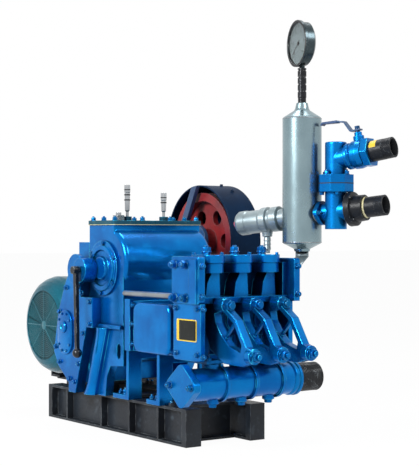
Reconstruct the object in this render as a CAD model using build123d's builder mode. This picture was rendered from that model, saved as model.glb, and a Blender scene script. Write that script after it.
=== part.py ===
"""Triplex mud pump on a skid: power end, fluid end, air chamber, valves, motor and belt drive.

+X runs from the power end to the fluid end, +Y towards the belt drive, +Z up.
The origin is on the floor, under the middle of the skid. Millimetres throughout.
"""
from build123d import *
import math
import os

# ---------------------------------------------------------------- driving sizes
SKID_LENGTH, SKID_WIDTH, SKID_HEIGHT = 840, 300, 115
FLANGE_WIDTH, FLANGE_THICK, WEB_THICK = 56, 8, 8

SIDE_Y = 170                      # half width of the crankcase
CRANK_Z = 555                     # height of the crankshaft axis
BULGE_R = 112                     # crank chamber radius
CASE_REAR, CASE_FRONT = -110, 45  # upper box of the crankcase
CASE_TOP = 678
COVER_THICK = 14
SHIFT_X, SHIFT_Y = -20, [-78, 67]  # gear selector posts

GEARBOX_REAR, GEARBOX_FRONT = -330, -72
GEARBOX_SIDE = 205
GEARBOX_TOP = 588
INPUT_X, INPUT_Z = -270, 622      # input shaft that carries the large pulley

GUIDE_TOP, GUIDE_BOTTOM = 432, 275  # crosshead housing
FLUID_REAR, FLUID_FRONT = 410, 530
CYL_PITCH = 105
CYL_Z = 385
CYL_Y = [-CYL_PITCH, 0, CYL_PITCH]
BLOCK_BOTTOM, BLOCK_TOP = 440, 560
VALVE_X = 504

MANIFOLD_X, MANIFOLD_Z, MANIFOLD_R = 508, 198, 49
MANIFOLD_LEFT, MANIFOLD_RIGHT = -200, 175

CHAMBER_X, CHAMBER_Y, CHAMBER_R = 484, 260, 62
CHAMBER_BOTTOM, CHAMBER_TOP = 622, 1012
PORT_Z = 705                      # side ports of the air chamber
PORT_REACH, PORT_TILT = 121, 6    # distance to the tee and rise of that run
AIM = 21.7                        # the run is turned this far from +X towards +Y
TEE_R, TEE_BOTTOM, TEE_JOINT, TEE_TOP = 34, 662, 805, 934
VALVE_Z, VALVE_TILT = 880, 9      # ball valve branch

MOTOR_X, MOTOR_Z, MOTOR_R = -492, 320, 175
MOTOR_FAN_END, MOTOR_DRIVE_END = -140, 360
CRADLE_TOP = 166

BELT_Y0, BELT_Y1 = 402, 498       # width of both pulleys
PULLEY_R, MOTOR_PULLEY_R = 178, 82
GROOVES, GROOVE_PITCH = 4, 21
GUARD_Y0, GUARD_Y1, GUARD_R, GUARD_THICK = 388, 514, 206, 4

os.makedirs("parts", exist_ok=True)
made = []


def save(part, label):
    """Label a finished piece and write it to its own file."""
    part.label = label
    export_step(part, f"parts/{label}.step")
    made.append(label)


def turned(points, plane):
    """A solid of revolution about the plane's Z axis, from (radius, height) points."""
    with BuildPart() as body:
        with BuildSketch(Plane(origin=plane.origin, x_dir=plane.x_dir, z_dir=-plane.y_dir)):
            with BuildLine():
                Polyline(*points, close=True)
            make_face()
        revolve(axis=Axis(plane.origin, plane.z_dir))
    return body.part


def along_y(x, z, y=0.0):
    """A plane whose Z axis points along +Y."""
    return Plane(origin=(x, y, z), x_dir=(1, 0, 0), z_dir=(0, 1, 0))


def along_x(y, z, x=0.0):
    """A plane whose Z axis points along +X."""
    return Plane(origin=(x, y, z), x_dir=(0, 1, 0), z_dir=(1, 0, 0))


def upright(x, y, z=0.0):
    """A plane whose Z axis points up."""
    return Plane(origin=(x, y, z))


def hex_bolts(places, plane, across, height, stud_r=0.0, stud_out=0.0):
    """Hexagon heads standing on a plane, each with a short stud end if asked."""
    with BuildPart() as bolts:
        with BuildSketch(plane):
            with Locations(*places):
                RegularPolygon(radius=across / 2, side_count=6, major_radius=False)
        extrude(amount=height)
        if stud_r:
            with BuildSketch(plane.offset(height)):
                with Locations(*places):
                    Circle(stud_r)
            extrude(amount=stud_out)
    return bolts.part


def block(x, y, z, mode=Mode.ADD):
    """A box between pairs of coordinates, added to the part being built."""
    with Locations(((x[0] + x[1]) / 2, (y[0] + y[1]) / 2, (z[0] + z[1]) / 2)):
        Box(x[1] - x[0], y[1] - y[0], z[1] - z[0], mode=mode)


def side_profile(points, y0, y1, mode=Mode.ADD):
    """A polygon of (x, z) points, solid from y0 to y1."""
    with BuildSketch(Plane.XZ.offset(-y1)) as shape:
        with BuildLine():
            Polyline(*points, close=True)
        make_face()
    extrude(shape.sketch, amount=y1 - y0, mode=mode)


def rod_x(y, z, radius, x0, x1, mode=Mode.ADD):
    """A round bar along X."""
    with BuildSketch(Plane.YZ.offset(x0)) as shape:
        with Locations((y, z)):
            Circle(radius)
    extrude(shape.sketch, amount=x1 - x0, mode=mode)


def rod_y(x, z, radius, y0, y1, mode=Mode.ADD):
    """A round bar along Y."""
    with BuildSketch(Plane.XZ.offset(-y1)) as shape:
        with Locations((x, z)):
            Circle(radius)
    extrude(shape.sketch, amount=y1 - y0, mode=mode)


def rod_z(x, y, radius, z0, z1, mode=Mode.ADD):
    """A round bar along Z."""
    with BuildSketch(Plane.XY.offset(z0)) as shape:
        with Locations((x, y)):
            Circle(radius)
    extrude(shape.sketch, amount=z1 - z0, mode=mode)


def i_section(y_mid, height):
    """Rolled I-section outline, drawn across the rail."""
    with Locations((y_mid, FLANGE_THICK / 2), (y_mid, height - FLANGE_THICK / 2)):
        Rectangle(FLANGE_WIDTH, FLANGE_THICK)
    with Locations((y_mid, height / 2)):
        Rectangle(WEB_THICK, height)


# ------------------------------------------------------------------------ skid
RAIL_Y = (SKID_WIDTH - FLANGE_WIDTH) / 2
STIFFENER_X = [-300, -70, 105, 275]


def skid_rail(side):
    """One long rail with stiffeners outside its web and a plate closing each end."""
    outer = sorted([side * RAIL_Y, side * SKID_WIDTH / 2])
    whole = sorted([side * (RAIL_Y - FLANGE_WIDTH / 2), side * SKID_WIDTH / 2])
    with BuildPart() as rail:
        with BuildSketch(Plane.YZ.offset(-SKID_LENGTH / 2)):
            i_section(side * RAIL_Y, SKID_HEIGHT)
        extrude(amount=SKID_LENGTH)
        for x in STIFFENER_X:
            block((x - 4, x + 4), outer, (0, SKID_HEIGHT))
        for x in (-SKID_LENGTH / 2, SKID_LENGTH / 2):
            block((x - 12, x + 12), whole, (0, SKID_HEIGHT))
    return rail.part


save(skid_rail(-1) + skid_rail(1), "skid_rails")


def skid_beam(x_mid):
    """Cross beam between the rails, the same section turned across."""
    inner = RAIL_Y - FLANGE_WIDTH / 2
    with BuildPart() as beam:
        with BuildSketch(Plane.XZ.offset(-inner)):
            with Locations((x_mid, FLANGE_THICK / 2), (x_mid, SKID_HEIGHT - FLANGE_THICK / 2)):
                Rectangle(FLANGE_WIDTH, FLANGE_THICK)
            with Locations((x_mid, SKID_HEIGHT / 2)):
                Rectangle(WEB_THICK, SKID_HEIGHT)
        extrude(amount=2 * inner)
    return beam.part


save(skid_beam(SKID_LENGTH / 2 - 100) + skid_beam(0) + skid_beam(-SKID_LENGTH / 2 + 60), "skid_cross_beams")

# motor stand behind the skid: two floor rails carry two cross bars
CROSS_X = [MOTOR_X - 140, MOTOR_X + 140]
with BuildPart() as floor_rails:
    block((MOTOR_X - 172, -SKID_LENGTH / 2 - 12), (12, 62), (0, SKID_HEIGHT))
    block((MOTOR_X - 172, CROSS_X[1] + 32), (262, 312), (0, SKID_HEIGHT))
    block((MOTOR_X - 172, -SKID_LENGTH / 2 - 12), (12, 52), (10, SKID_HEIGHT - 10), mode=Mode.SUBTRACT)
    block((MOTOR_X - 172, CROSS_X[1] + 32), (272, 312), (10, SKID_HEIGHT - 10), mode=Mode.SUBTRACT)
save(floor_rails.part, "motor_floor_rails")

with BuildPart() as cross_bars:
    for x in CROSS_X:
        block((x - 32, x + 32), (-14, 326), (SKID_HEIGHT, CRADLE_TOP))
        block((x - 24, x + 32), (-14, 326), (SKID_HEIGHT + 8, CRADLE_TOP - 8), mode=Mode.SUBTRACT)
save(cross_bars.part, "motor_cross_bars")

# ------------------------------------------------------------------- power end
PANEL_Y = -GEARBOX_SIDE           # outer face of the gearbox side panel
with BuildPart() as crankcase:
    with BuildSketch(Plane.XZ.offset(-SIDE_Y)):
        with BuildLine():
            Polyline((104, 498), (104, 350), (CASE_REAR, 350), (CASE_REAR, CASE_TOP), (CASE_FRONT, CASE_TOP))
            Line((CASE_FRONT, CASE_TOP), (CASE_FRONT, 660))
            ThreePointArc((CASE_FRONT, 660), (8 + BULGE_R, CRANK_Z), (104, 498))
        make_face()
    extrude(amount=2 * SIDE_Y)
    front = crankcase.edges().filter_by(GeomType.CIRCLE)
    fillet(front, 14)
save(crankcase.part, "crankcase")

with BuildPart() as top_cover:
    block((CASE_REAR - 6, CASE_FRONT + 8), (-SIDE_Y - 6, SIDE_Y + 6), (CASE_TOP, CASE_TOP + COVER_THICK))
    fillet(top_cover.edges().filter_by(Axis.Z), 12)
    for y in SHIFT_Y:
        rod_z(SHIFT_X, y, 15, CASE_TOP + COVER_THICK, CASE_TOP + COVER_THICK + 14)
        rod_z(SHIFT_X, y, 10, CASE_TOP + COVER_THICK, CASE_TOP + COVER_THICK + 14, mode=Mode.SUBTRACT)
save(top_cover.part, "crankcase_top_cover")


def pedestal_side(y0, y1, outer):
    """Cheek with an arch and an oval hand hole, a ledge on top and a raked round leg outside it."""
    low, high = sorted([y0, y1])
    side_profile(
        [(CASE_REAR, 350), (104, 350), (104, 222), (22, 215), (2, 182), (-8, SKID_HEIGHT), (CASE_REAR, SKID_HEIGHT)],
        low, high,
    )
    with BuildSketch(Plane.XZ.offset(-high)) as hole:
        with Locations((76, 268)):
            SlotCenterToCenter(26, 22, rotation=90)
    extrude(hole.sketch, amount=high - low, mode=Mode.SUBTRACT)
    a, b = sorted([y0, outer])
    side_profile([(-34, 340), (22, 340), (-56, SKID_HEIGHT), (-112, SKID_HEIGHT)], a, b)
    side_profile([(-34, 352), (104, 352), (104, 340), (-34, 340)], a, b)


with BuildPart() as pedestal:
    pedestal_side(-SIDE_Y, -SIDE_Y + 30, -SIDE_Y - 14)
    pedestal_side(SIDE_Y, SIDE_Y - 30, SIDE_Y + 14)
save(pedestal.part, "crankcase_pedestal")

with BuildPart() as oil_sump:
    block((CASE_REAR, 60), (-SIDE_Y + 30, SIDE_Y - 30), (225, 350))
    fillet(oil_sump.edges().filter_by(Axis.Y).group_by(Axis.Z)[0], 24)
save(oil_sump.part, "oil_sump")

BEARING_X, BEARING_Z = -14, 536
near_cover = turned(
    [(0, 0), (90, 0), (90, 8), (76, 8), (74, 15), (60, 15), (57, 9), (40, 9), (36, 20), (0, 20)],
    Plane(origin=(BEARING_X, -SIDE_Y, BEARING_Z), x_dir=(1, 0, 0), z_dir=(0, -1, 0)),
)
far_cover = turned(
    [(0, 0), (90, 0), (90, 8), (76, 8), (74, 15), (0, 15)],
    Plane(origin=(BEARING_X, SIDE_Y, BEARING_Z), x_dir=(1, 0, 0), z_dir=(0, 1, 0)),
)
save(near_cover + far_cover, "crank_bearing_covers")

# ------------------------------------------------------- gearbox and its levers
PANEL = [
    (-112, 560), (-160, 560), (-216, 478), (-262, 380), (-292, 245), (-262, 198), (-190, 147),
    (-190, SKID_HEIGHT), (-146, SKID_HEIGHT), (-72, 339), (-35, 339),
    (-35, 438), (-60, 438), (-112, 438),
]
with BuildPart() as gearbox:
    side_profile(
        [(-112, 620), (-112, 150), (-190, 147), (-262, 198), (-292, 245), (-262, 380), (-216, 478), (-180, 560),
         (-180, 620)], -SIDE_Y, 150,
    )
    side_profile(PANEL, PANEL_Y, -SIDE_Y)
    block((-330, -112), (-20, 200), (540, 676))
    fillet(gearbox.edges().filter_by(Axis.Y).group_by(Axis.Z)[-1], 22)
    rod_y(INPUT_X, INPUT_Z, 44, 200, 372)
save(gearbox.part, "gearbox_housing")

BOSS_X, BOSS_Z = -118, 529
LEVER_X, LEVER_Z = -64, 529
with BuildPart() as clutch_boss:
    rod_y(BOSS_X, BOSS_Z, 52, PANEL_Y - 16, PANEL_Y)
    rod_y(LEVER_X, LEVER_Z, 40, PANEL_Y - 31, PANEL_Y + 13)
    rod_y(LEVER_X, LEVER_Z, 9.4, PANEL_Y - 31, PANEL_Y - 5, mode=Mode.SUBTRACT)
save(clutch_boss.part, "clutch_boss")

BALL_Z = 257
with BuildPart() as clutch_lever:
    rod_y(LEVER_X, LEVER_Z, 13, PANEL_Y - 58, PANEL_Y - 37)
    rod_y(LEVER_X, LEVER_Z, 9, PANEL_Y - 37, PANEL_Y - 7)
    side_profile(
        [(LEVER_X - 9, LEVER_Z), (LEVER_X + 9, LEVER_Z), (LEVER_X + 15, BALL_Z + 10), (LEVER_X + 3, BALL_Z + 10)],
        PANEL_Y - 50, PANEL_Y - 38,
    )
    with Locations((LEVER_X + 9, PANEL_Y - 44, BALL_Z)):
        Sphere(16)
save(clutch_lever.part, "clutch_lever")


def shift_lever(x, y, top, label):
    """Chrome post standing in a collar on the cover: narrow neck, stepped grip."""
    z = CASE_TOP + COVER_THICK
    steps = [(0, 2), (5, 2), (5, 30), (8, 34), (9, top - z - 26), (10, top - z - 24)]
    steps += [(10, top - z), (0, top - z)]
    save(turned(steps, upright(x, y, z)), label)


shift_lever(SHIFT_X, SHIFT_Y[0], 811, "shift_lever_near")
shift_lever(SHIFT_X, SHIFT_Y[1], 787, "shift_lever_far")

with BuildPart() as breather:
    block((-34, -6), (-125, -98), (CASE_TOP + COVER_THICK, CASE_TOP + COVER_THICK + 18))
    rod_z(-20, -112, 9, CASE_TOP + COVER_THICK + 18, CASE_TOP + COVER_THICK + 27)
save(breather.part, "oil_filler")

# ------------------------------------------------------------ crosshead housing
GUIDE_Y = 160
with BuildPart() as guide_housing:
    block((104, FLUID_REAR), (-GUIDE_Y, GUIDE_Y), (GUIDE_BOTTOM, GUIDE_TOP))
    block((128, FLUID_REAR - 12), (-GUIDE_Y + 12, GUIDE_Y - 12), (GUIDE_BOTTOM + 12, GUIDE_TOP), mode=Mode.SUBTRACT)
    for y in (-52, 52):
        block((128, FLUID_REAR - 12), (y - 6, y + 6), (GUIDE_BOTTOM + 12, GUIDE_TOP - 40))
    for y0, y1 in ((-GUIDE_Y - 14, -GUIDE_Y), (GUIDE_Y, GUIDE_Y + 14)):
        block((118, 150), (y0, y1), (GUIDE_BOTTOM, GUIDE_TOP + 8))
    for y in CYL_Y:
        rod_x(y, CYL_Z, 19, FLUID_REAR - 12, FLUID_REAR, mode=Mode.SUBTRACT)
        rod_x(y, CYL_Z, 19, 104, 128, mode=Mode.SUBTRACT)
save(guide_housing.part, "crosshead_housing")

with BuildPart() as piston_rods:
    for y in CYL_Y:
        rod_x(y, CYL_Z, 18, 110, FLUID_REAR)
        rod_x(y, CYL_Z, 28, 170, 250)
save(piston_rods.part, "piston_rods")


def guide_cover(side):
    """Rounded side cover of the crosshead housing."""
    inner, outer = side * GUIDE_Y, side * (GUIDE_Y + 22)
    low, high = sorted([inner, outer])
    with BuildPart() as cover:
        block((178, 388), (low, high), (GUIDE_BOTTOM, GUIDE_TOP))
        fillet(cover.edges().filter_by(Axis.Y), 30)
        face = cover.faces().sort_by(Axis.Y)[0 if side < 0 else -1]
        fillet(face.edges(), 10)
    return cover.part


save(guide_cover(-1) + guide_cover(1), "guide_covers")


def guide_support(x0, x1, foot):
    """Plate under the crosshead housing with an arch through it and a foot each side."""
    with BuildPart() as plate:
        block((x0, x1), (-GUIDE_Y - 4, GUIDE_Y + 4), (SKID_HEIGHT, GUIDE_BOTTOM))
        block((x0, x1), (-GUIDE_Y + 46, GUIDE_Y - 46), (SKID_HEIGHT, GUIDE_BOTTOM - 30), mode=Mode.SUBTRACT)
        for y0, y1 in ((-GUIDE_Y - 4, -GUIDE_Y + 46), (GUIDE_Y - 46, GUIDE_Y + 4)):
            block(sorted([x0, foot]), (y0, y1), (SKID_HEIGHT, SKID_HEIGHT + 14))
    return plate.part


save(guide_support(112, 126, 30) + guide_support(292, 306, 236), "guide_supports")

with BuildPart() as tie_rods:
    for y in (-SIDE_Y + 6, SIDE_Y - 6):
        rod_x(y, 457, 9, 104, FLUID_REAR)
save(tie_rods.part, "tie_rods")

# --------------------------------------------------------------------- fluid end
CHEEK_Y = 165
with BuildPart() as valve_block:
    block((FLUID_REAR, FLUID_FRONT), (-CHEEK_Y, CHEEK_Y), (BLOCK_BOTTOM, BLOCK_BOTTOM + 18))
    block((FLUID_REAR, 462), (-CHEEK_Y, CHEEK_Y), (BLOCK_BOTTOM + 18, BLOCK_TOP))
    for y in CYL_Y:
        with BuildSketch(Plane.YZ.offset(462)) as column:
            with BuildLine():
                Polyline(
                    (y - 30, BLOCK_BOTTOM + 18), (y + 24, BLOCK_BOTTOM + 18), (y + 20, 530),
                    (y - 8, 530), (y - 24, 500), close=True,
                )
            make_face()
        extrude(column.sketch, amount=FLUID_FRONT - 16 - 462)
        rod_z(VALVE_X, y, 35, 530, BLOCK_TOP)
        block((462, VALVE_X), (y - 35, y + 35), (530, BLOCK_TOP))
    block((462, FLUID_FRONT - 8), (CHEEK_Y - 14, CHEEK_Y), (BLOCK_BOTTOM + 18, BLOCK_TOP))
save(valve_block.part, "valve_block")

with BuildPart() as valve_covers:
    for y in CYL_Y:
        with BuildSketch(Plane.XY.offset(BLOCK_TOP)) as cap:
            with Locations(((VALVE_X + 458) / 2 + 2, y)):
                SlotCenterToCenter(46, 74)
        extrude(cap.sketch, amount=24)
        rod_z(475, y, 13, BLOCK_TOP + 24, BLOCK_TOP + 32)
save(valve_covers.part, "valve_covers")


def boss_plate(side, front, top):
    """Thick plate bolted to the end of the valve block, with a raised front strip."""
    y0, y1 = sorted([side * CHEEK_Y, side * (CHEEK_Y + 22)])
    with BuildPart() as plate:
        block((FLUID_REAR, front), (y0, y1), (BLOCK_BOTTOM, top))
        fillet(plate.edges().filter_by(Axis.Y), 8)
        a, b = sorted([side * (CHEEK_Y + 22), side * (CHEEK_Y + 28)])
        block((front - 46, front - 8), (a, b), (BLOCK_BOTTOM, top - 8))
    return plate.part


save(boss_plate(-1, 552, 580) + boss_plate(1, 562, 573), "valve_block_end_plates")


def cheek(side, front):
    """Side plate carrying the cylinders, below the valve block."""
    y0, y1 = sorted([side * CHEEK_Y, side * (CHEEK_Y + 16)])
    with BuildPart() as plate:
        block((FLUID_REAR, front), (y0, y1), (270, BLOCK_BOTTOM))
        fillet(plate.edges().filter_by(Axis.Y).group_by(Axis.Z)[0], 10)
    return plate.part


save(cheek(-1, 553) + cheek(1, 534), "fluid_end_cheeks")

with BuildPart() as cylinders:
    block((FLUID_REAR, FLUID_REAR + 16), (-CHEEK_Y, CHEEK_Y), (330, BLOCK_BOTTOM))
    for y in CYL_Y:
        rod_x(y, CYL_Z, 50, FLUID_REAR + 16, 478)
        rod_x(y, CYL_Z, 36, 478, 486)
        block((430, 478), (y - 26, y + 26), (CYL_Z, BLOCK_BOTTOM))
        rod_z(455, y, 20, 270, CYL_Z)
        block((FLUID_REAR + 16, 520), (y - 30, y + 30), (258, 270))
save(cylinders.part, "cylinder_bank")

YOKE_OUTER = [
    (490, 440), (FLUID_FRONT, 440), (FLUID_FRONT, 456), (578, 456), (590, 428), (640, 396),
    (690, 320), (722, 310), (722, 278), (665, 263), (582, 265), (512, 304), (490, 354),
]
YOKE_WINDOW = [
    (534, 410), (576, 420), (628, 386), (668, 324), (662, 302), (606, 318), (570, 347), (540, 384),
]
YOKE_RIB = [(566, 336), (574, 332), (638, 396), (630, 402)]


def yoke(y):
    """Clamping frame of one cylinder, standing forward of the block, with two round bosses."""
    with BuildPart() as frame:
        side_profile(YOKE_OUTER, y - 13, y + 13)
        side_profile(YOKE_WINDOW, y - 13, y + 13, mode=Mode.SUBTRACT)
        side_profile(YOKE_RIB, y - 4, y + 4)
        rod_x(y, 436, 21, FLUID_FRONT + 12, 582)
        rod_x(y, 294, 23, 692, 716)
        rod_x(y, 294, 7, 716, 740)
    return frame.part


save(yoke(CYL_Y[0]) + yoke(CYL_Y[1]) + yoke(CYL_Y[2]), "cylinder_yokes")

# -------------------------------------------------------------- suction manifold
with BuildPart() as manifold:
    rod_y(MANIFOLD_X, MANIFOLD_Z, MANIFOLD_R, MANIFOLD_LEFT, MANIFOLD_RIGHT)
    for y in (-82, 24, 128):
        rod_y(MANIFOLD_X, MANIFOLD_Z, MANIFOLD_R + 7, y - 5, y + 5)
        block((MANIFOLD_X - 16, MANIFOLD_X + 16), (y - 5, y + 5), (MANIFOLD_Z, 257))
    for y in CYL_Y:
        rod_z(MANIFOLD_X - 10, y, 27, MANIFOLD_Z, 258)
        rod_z(MANIFOLD_X, y, 19, MANIFOLD_Z - MANIFOLD_R - 10, MANIFOLD_Z)
save(manifold.part, "suction_manifold")

with BuildPart() as blank_flange:
    with BuildSketch(Plane.XZ.offset(-MANIFOLD_LEFT)) as lozenge:
        with Locations((MANIFOLD_X, MANIFOLD_Z - 42), (MANIFOLD_X, MANIFOLD_Z + 42)):
            Circle(22)
        with Locations((MANIFOLD_X - 54, MANIFOLD_Z), (MANIFOLD_X + 54, MANIFOLD_Z)):
            Circle(20)
        make_hull()
    extrude(amount=22)
save(blank_flange.part, "manifold_end_flange")

NIPPLE_Y = 206
save(
    turned(
        [(0, MANIFOLD_RIGHT), (49, MANIFOLD_RIGHT), (53, MANIFOLD_RIGHT + 5), (53, 188), (50, 190), (50, 193),
         (54, 195), (54, 203), (50, NIPPLE_Y), (0, NIPPLE_Y)],
        along_y(MANIFOLD_X, MANIFOLD_Z),
    ),
    "suction_coupling",
)
save(
    turned(
        [(38, NIPPLE_Y), (45, NIPPLE_Y), (45, 292), (38, 292)],
        along_y(MANIFOLD_X, MANIFOLD_Z),
    ),
    "suction_nipple",
)

# ------------------------------------------------------- discharge and air chamber
def aim(tilt, back=False):
    """Unit direction of a branch: turned by AIM about Z and raised by tilt degrees."""
    flat = math.cos(math.radians(tilt)) * (-1 if back else 1)
    return (
        flat * math.cos(math.radians(AIM)), flat * math.sin(math.radians(AIM)),
        math.sin(math.radians(tilt)),
    )


def branch(x, y, z, direction):
    """Plane at the start of a branch, Z along it and X level across it."""
    across = Vector(0, 0, 1).cross(Vector(*direction)).normalized()
    return Plane(origin=(x, y, z), x_dir=across, z_dir=direction)


ELBOW_Z, ELBOW_R = 516, 21
END_Y = CHEEK_Y + 28
with BuildPart() as elbow:
    bend = CHAMBER_Y - END_Y - 8
    with BuildLine() as route:
        Line((CHAMBER_X, END_Y, ELBOW_Z), (CHAMBER_X, END_Y + 8, ELBOW_Z))
        RadiusArc((CHAMBER_X, END_Y + 8, ELBOW_Z), (CHAMBER_X, CHAMBER_Y, ELBOW_Z + bend), -bend)
        Line((CHAMBER_X, CHAMBER_Y, ELBOW_Z + bend), (CHAMBER_X, CHAMBER_Y, 592))
    with BuildSketch(along_y(CHAMBER_X, ELBOW_Z, END_Y)):
        Circle(ELBOW_R)
    sweep(path=route.line)
save(elbow.part, "discharge_elbow")

CHAMBER_AXIS = upright(CHAMBER_X, CHAMBER_Y)
SHELL = [
    (0, 592), (24, 592), (26, 600), (CHAMBER_R - 3, 617), (CHAMBER_R, CHAMBER_BOTTOM),
    (CHAMBER_R, CHAMBER_TOP), (CHAMBER_R - 3, 1017), (26, 1038), (22, 1044), (18, 1062), (0, 1062),
]
# one leaning run passes through the chamber: safety valve behind, tee in front
PORT = branch(CHAMBER_X, CHAMBER_Y, PORT_Z, aim(PORT_TILT))
SAFETY = branch(CHAMBER_X, CHAMBER_Y, PORT_Z, aim(-PORT_TILT, back=True))
with BuildPart() as chamber:
    add(turned(SHELL, CHAMBER_AXIS))
    add(turned([(0, 0), (27, 0), (27, 66), (0, 66)], PORT))
save(chamber.part, "air_chamber")

with BuildPart() as safety_valve:
    add(
        turned(
            [(0, 55), (30, 55), (30, 76), (40, 80), (40, 104), (34, 108), (34, 116), (42, 120), (42, 140),
             (37, 148), (37, 196), (39, 199), (39, 224), (34, 232), (0, 232)],
            SAFETY,
        )
    )
    rod_z(CHAMBER_X, CHAMBER_Y, CHAMBER_R, 600, 900, mode=Mode.SUBTRACT)
    low_point = SAFETY.origin + SAFETY.z_dir * 128
    rod_z(low_point.X, low_point.Y, 17, low_point.Z - 44, low_point.Z)
save(turned([(0, 232), (14, 232), (14, 246), (10, 250), (0, 250)], SAFETY), "safety_valve_knob")

hose_tail = turned(
    [(0, 0), (16, 0), (16, -8), (10, -10), (12, -22), (10, -23), (12, -35), (10, -36), (12, -48), (9, -54),
     (9, -62), (0, -62)],
    upright(low_point.X, low_point.Y, low_point.Z - 44),
)
save(safety_valve.part + hose_tail, "safety_valve")

# pressure gauge on its stem
GAUGE_Z = 1250
stem_steps = [(0, 1062), (13, 1062), (13, 1078)]
for k in range(4):
    z = 1080 + 22 * k
    stem_steps += [(14, z), (14, z + 17), (12, z + 18), (12, z + 22)]
stem_steps += [(14, 1168), (14, 1172), (0, 1172)]
save(turned(stem_steps, CHAMBER_AXIS), "gauge_stem")

GAUGE_TURN = math.radians(15)
DIAL = Plane(
    origin=(CHAMBER_X, CHAMBER_Y, GAUGE_Z), x_dir=(math.cos(GAUGE_TURN), -math.sin(GAUGE_TURN), 0),
    z_dir=(-math.sin(GAUGE_TURN), -math.cos(GAUGE_TURN), 0),
)
with BuildPart() as gauge_case:
    add(
        turned(
            [(0, -20), (60, -20), (69, -13), (69, 10), (74, 12), (74, 20), (66, 20), (66, 10), (0, 10)],
            DIAL,
        )
    )
    rod_z(CHAMBER_X, CHAMBER_Y, 9, 1172, 1210)
save(gauge_case.part, "gauge_case")
save(turned([(0, 10), (66, 10), (66, 12), (0, 12)], DIAL), "gauge_dial")

# ------------------------------------------------------------------ discharge tee
TEE = PORT.origin + PORT.z_dir * PORT_REACH
TEE_X, TEE_Y = TEE.X, TEE.Y
LOW = branch(TEE_X, TEE_Y, TEE.Z, aim(PORT_TILT))
HIGH = branch(TEE_X, TEE_Y, VALVE_Z, aim(VALVE_TILT))


def octagon_flange(z0, z1):
    """Square flange with cut corners about the tee axis."""
    with BuildSketch(Plane.XY.offset(z0)) as outline:
        with Locations((TEE_X, TEE_Y)):
            RegularPolygon(radius=53, side_count=8, major_radius=False, rotation=-13)
    extrude(outline.sketch, amount=z1 - z0)


with BuildPart() as port_flange:
    with BuildSketch(PORT.offset(66)):
        Circle(38)
        with Locations((-37, 0), (37, 0)):
            Circle(14)
        make_hull()
    extrude(amount=13)
save(port_flange.part, "chamber_port_flange")

with BuildPart() as tee_lower:
    rod_z(TEE_X, TEE_Y, TEE_R, TEE_BOTTOM, TEE_JOINT - 27)
    octagon_flange(TEE_JOINT - 27, TEE_JOINT)
    add(turned([(0, 79), (29, 79), (29, PORT_REACH), (0, PORT_REACH)], PORT))
    add(turned([(0, 0), (30, 0), (30, 50), (0, 50)], LOW))
save(tee_lower.part, "tee_lower")

with BuildPart() as tee_upper:
    octagon_flange(TEE_JOINT, TEE_JOINT + 27)
    rod_z(TEE_X, TEE_Y, TEE_R, TEE_JOINT + 27, TEE_TOP)
    fillet(tee_upper.edges().filter_by(GeomType.CIRCLE).sort_by(Axis.Z)[-1], 5)
    add(turned([(0, 0), (33, 0), (33, 45), (0, 45)], HIGH))
save(tee_upper.part, "tee_upper")

save(turned([(0, 50), (53, 50), (53, 68), (42, 70), (40, 104), (0, 104)], LOW), "relief_flange")
save(turned([(26, 104), (32, 104), (32, 172), (26, 172)], LOW), "relief_nipple")

with BuildPart() as ball_valve:
    add(
        turned(
            [(0, 45), (41, 45), (41, 54), (37, 58), (44, 68), (45, 86), (42, 100), (37, 104), (0, 104)],
            HIGH,
        )
    )
    with BuildSketch(HIGH.offset(104)) as hexagon:
        RegularPolygon(radius=42, side_count=6, major_radius=False)
    extrude(hexagon.sketch, amount=22)
save(turned([(26, 126), (32, 126), (32, 200), (26, 200)], HIGH), "outlet_nipple")

# valve stem stands square to the flow, the lever lies back along it
RISE = -HIGH.y_dir if HIGH.y_dir.Z < 0 else HIGH.y_dir
STEM_FOOT = HIGH.origin + HIGH.z_dir * 88
STEM = Plane(origin=STEM_FOOT, x_dir=HIGH.z_dir, z_dir=RISE)
stem_tower = turned([(0, 30), (17, 30), (17, 56), (12, 58), (12, 68), (0, 68)], STEM)
save(ball_valve.part + stem_tower, "ball_valve_body")

LEVER_SIDE = Plane(origin=STEM_FOOT, x_dir=-HIGH.z_dir, z_dir=RISE.cross(HIGH.z_dir))
if LEVER_SIDE.y_dir.dot(RISE) < 0:
    LEVER_SIDE = Plane(origin=STEM_FOOT, x_dir=-HIGH.z_dir, z_dir=HIGH.z_dir.cross(RISE))
with BuildPart() as handle:
    with BuildSketch(LEVER_SIDE.offset(-11)) as strip:
        with BuildLine():
            Polyline(
                (-12, 73), (20, 73), (24, 76), (40, 106), (62, 112), (62, 116), (38, 111), (18, 77.5),
                (-12, 77.5), close=True,
            )
        make_face()
    extrude(strip.sketch, amount=22)
    add(turned([(0, 69), (8, 69), (8, 88), (0, 88)], STEM))
save(handle.part, "valve_handle")
with BuildPart() as grip:
    with BuildSketch(LEVER_SIDE.offset(-12)) as strip:
        with BuildLine():
            Polyline((62, 110), (111, 116), (117, 112), (120, 114), (113, 122), (62, 118), close=True)
        make_face()
    extrude(strip.sketch, amount=24)
save(grip.part, "valve_handle_grip")

# ------------------------------------------------------------------------- motor
MOTOR_AXIS = along_y(MOTOR_X, MOTOR_Z)
save(
    turned(
        [(122, -136), (124, MOTOR_FAN_END), (142, -133), (157, -120), (168, -102), (MOTOR_R, -80), (MOTOR_R, -50),
         (171, -50), (171, -80), (164, -100), (154, -116), (140, -129), (122, -132)],
        MOTOR_AXIS,
    ),
    "motor_fan_cowl",
)
save(turned([(0, -136), (122, -136), (122, -132), (0, -132)], MOTOR_AXIS), "motor_fan_grille")

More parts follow.
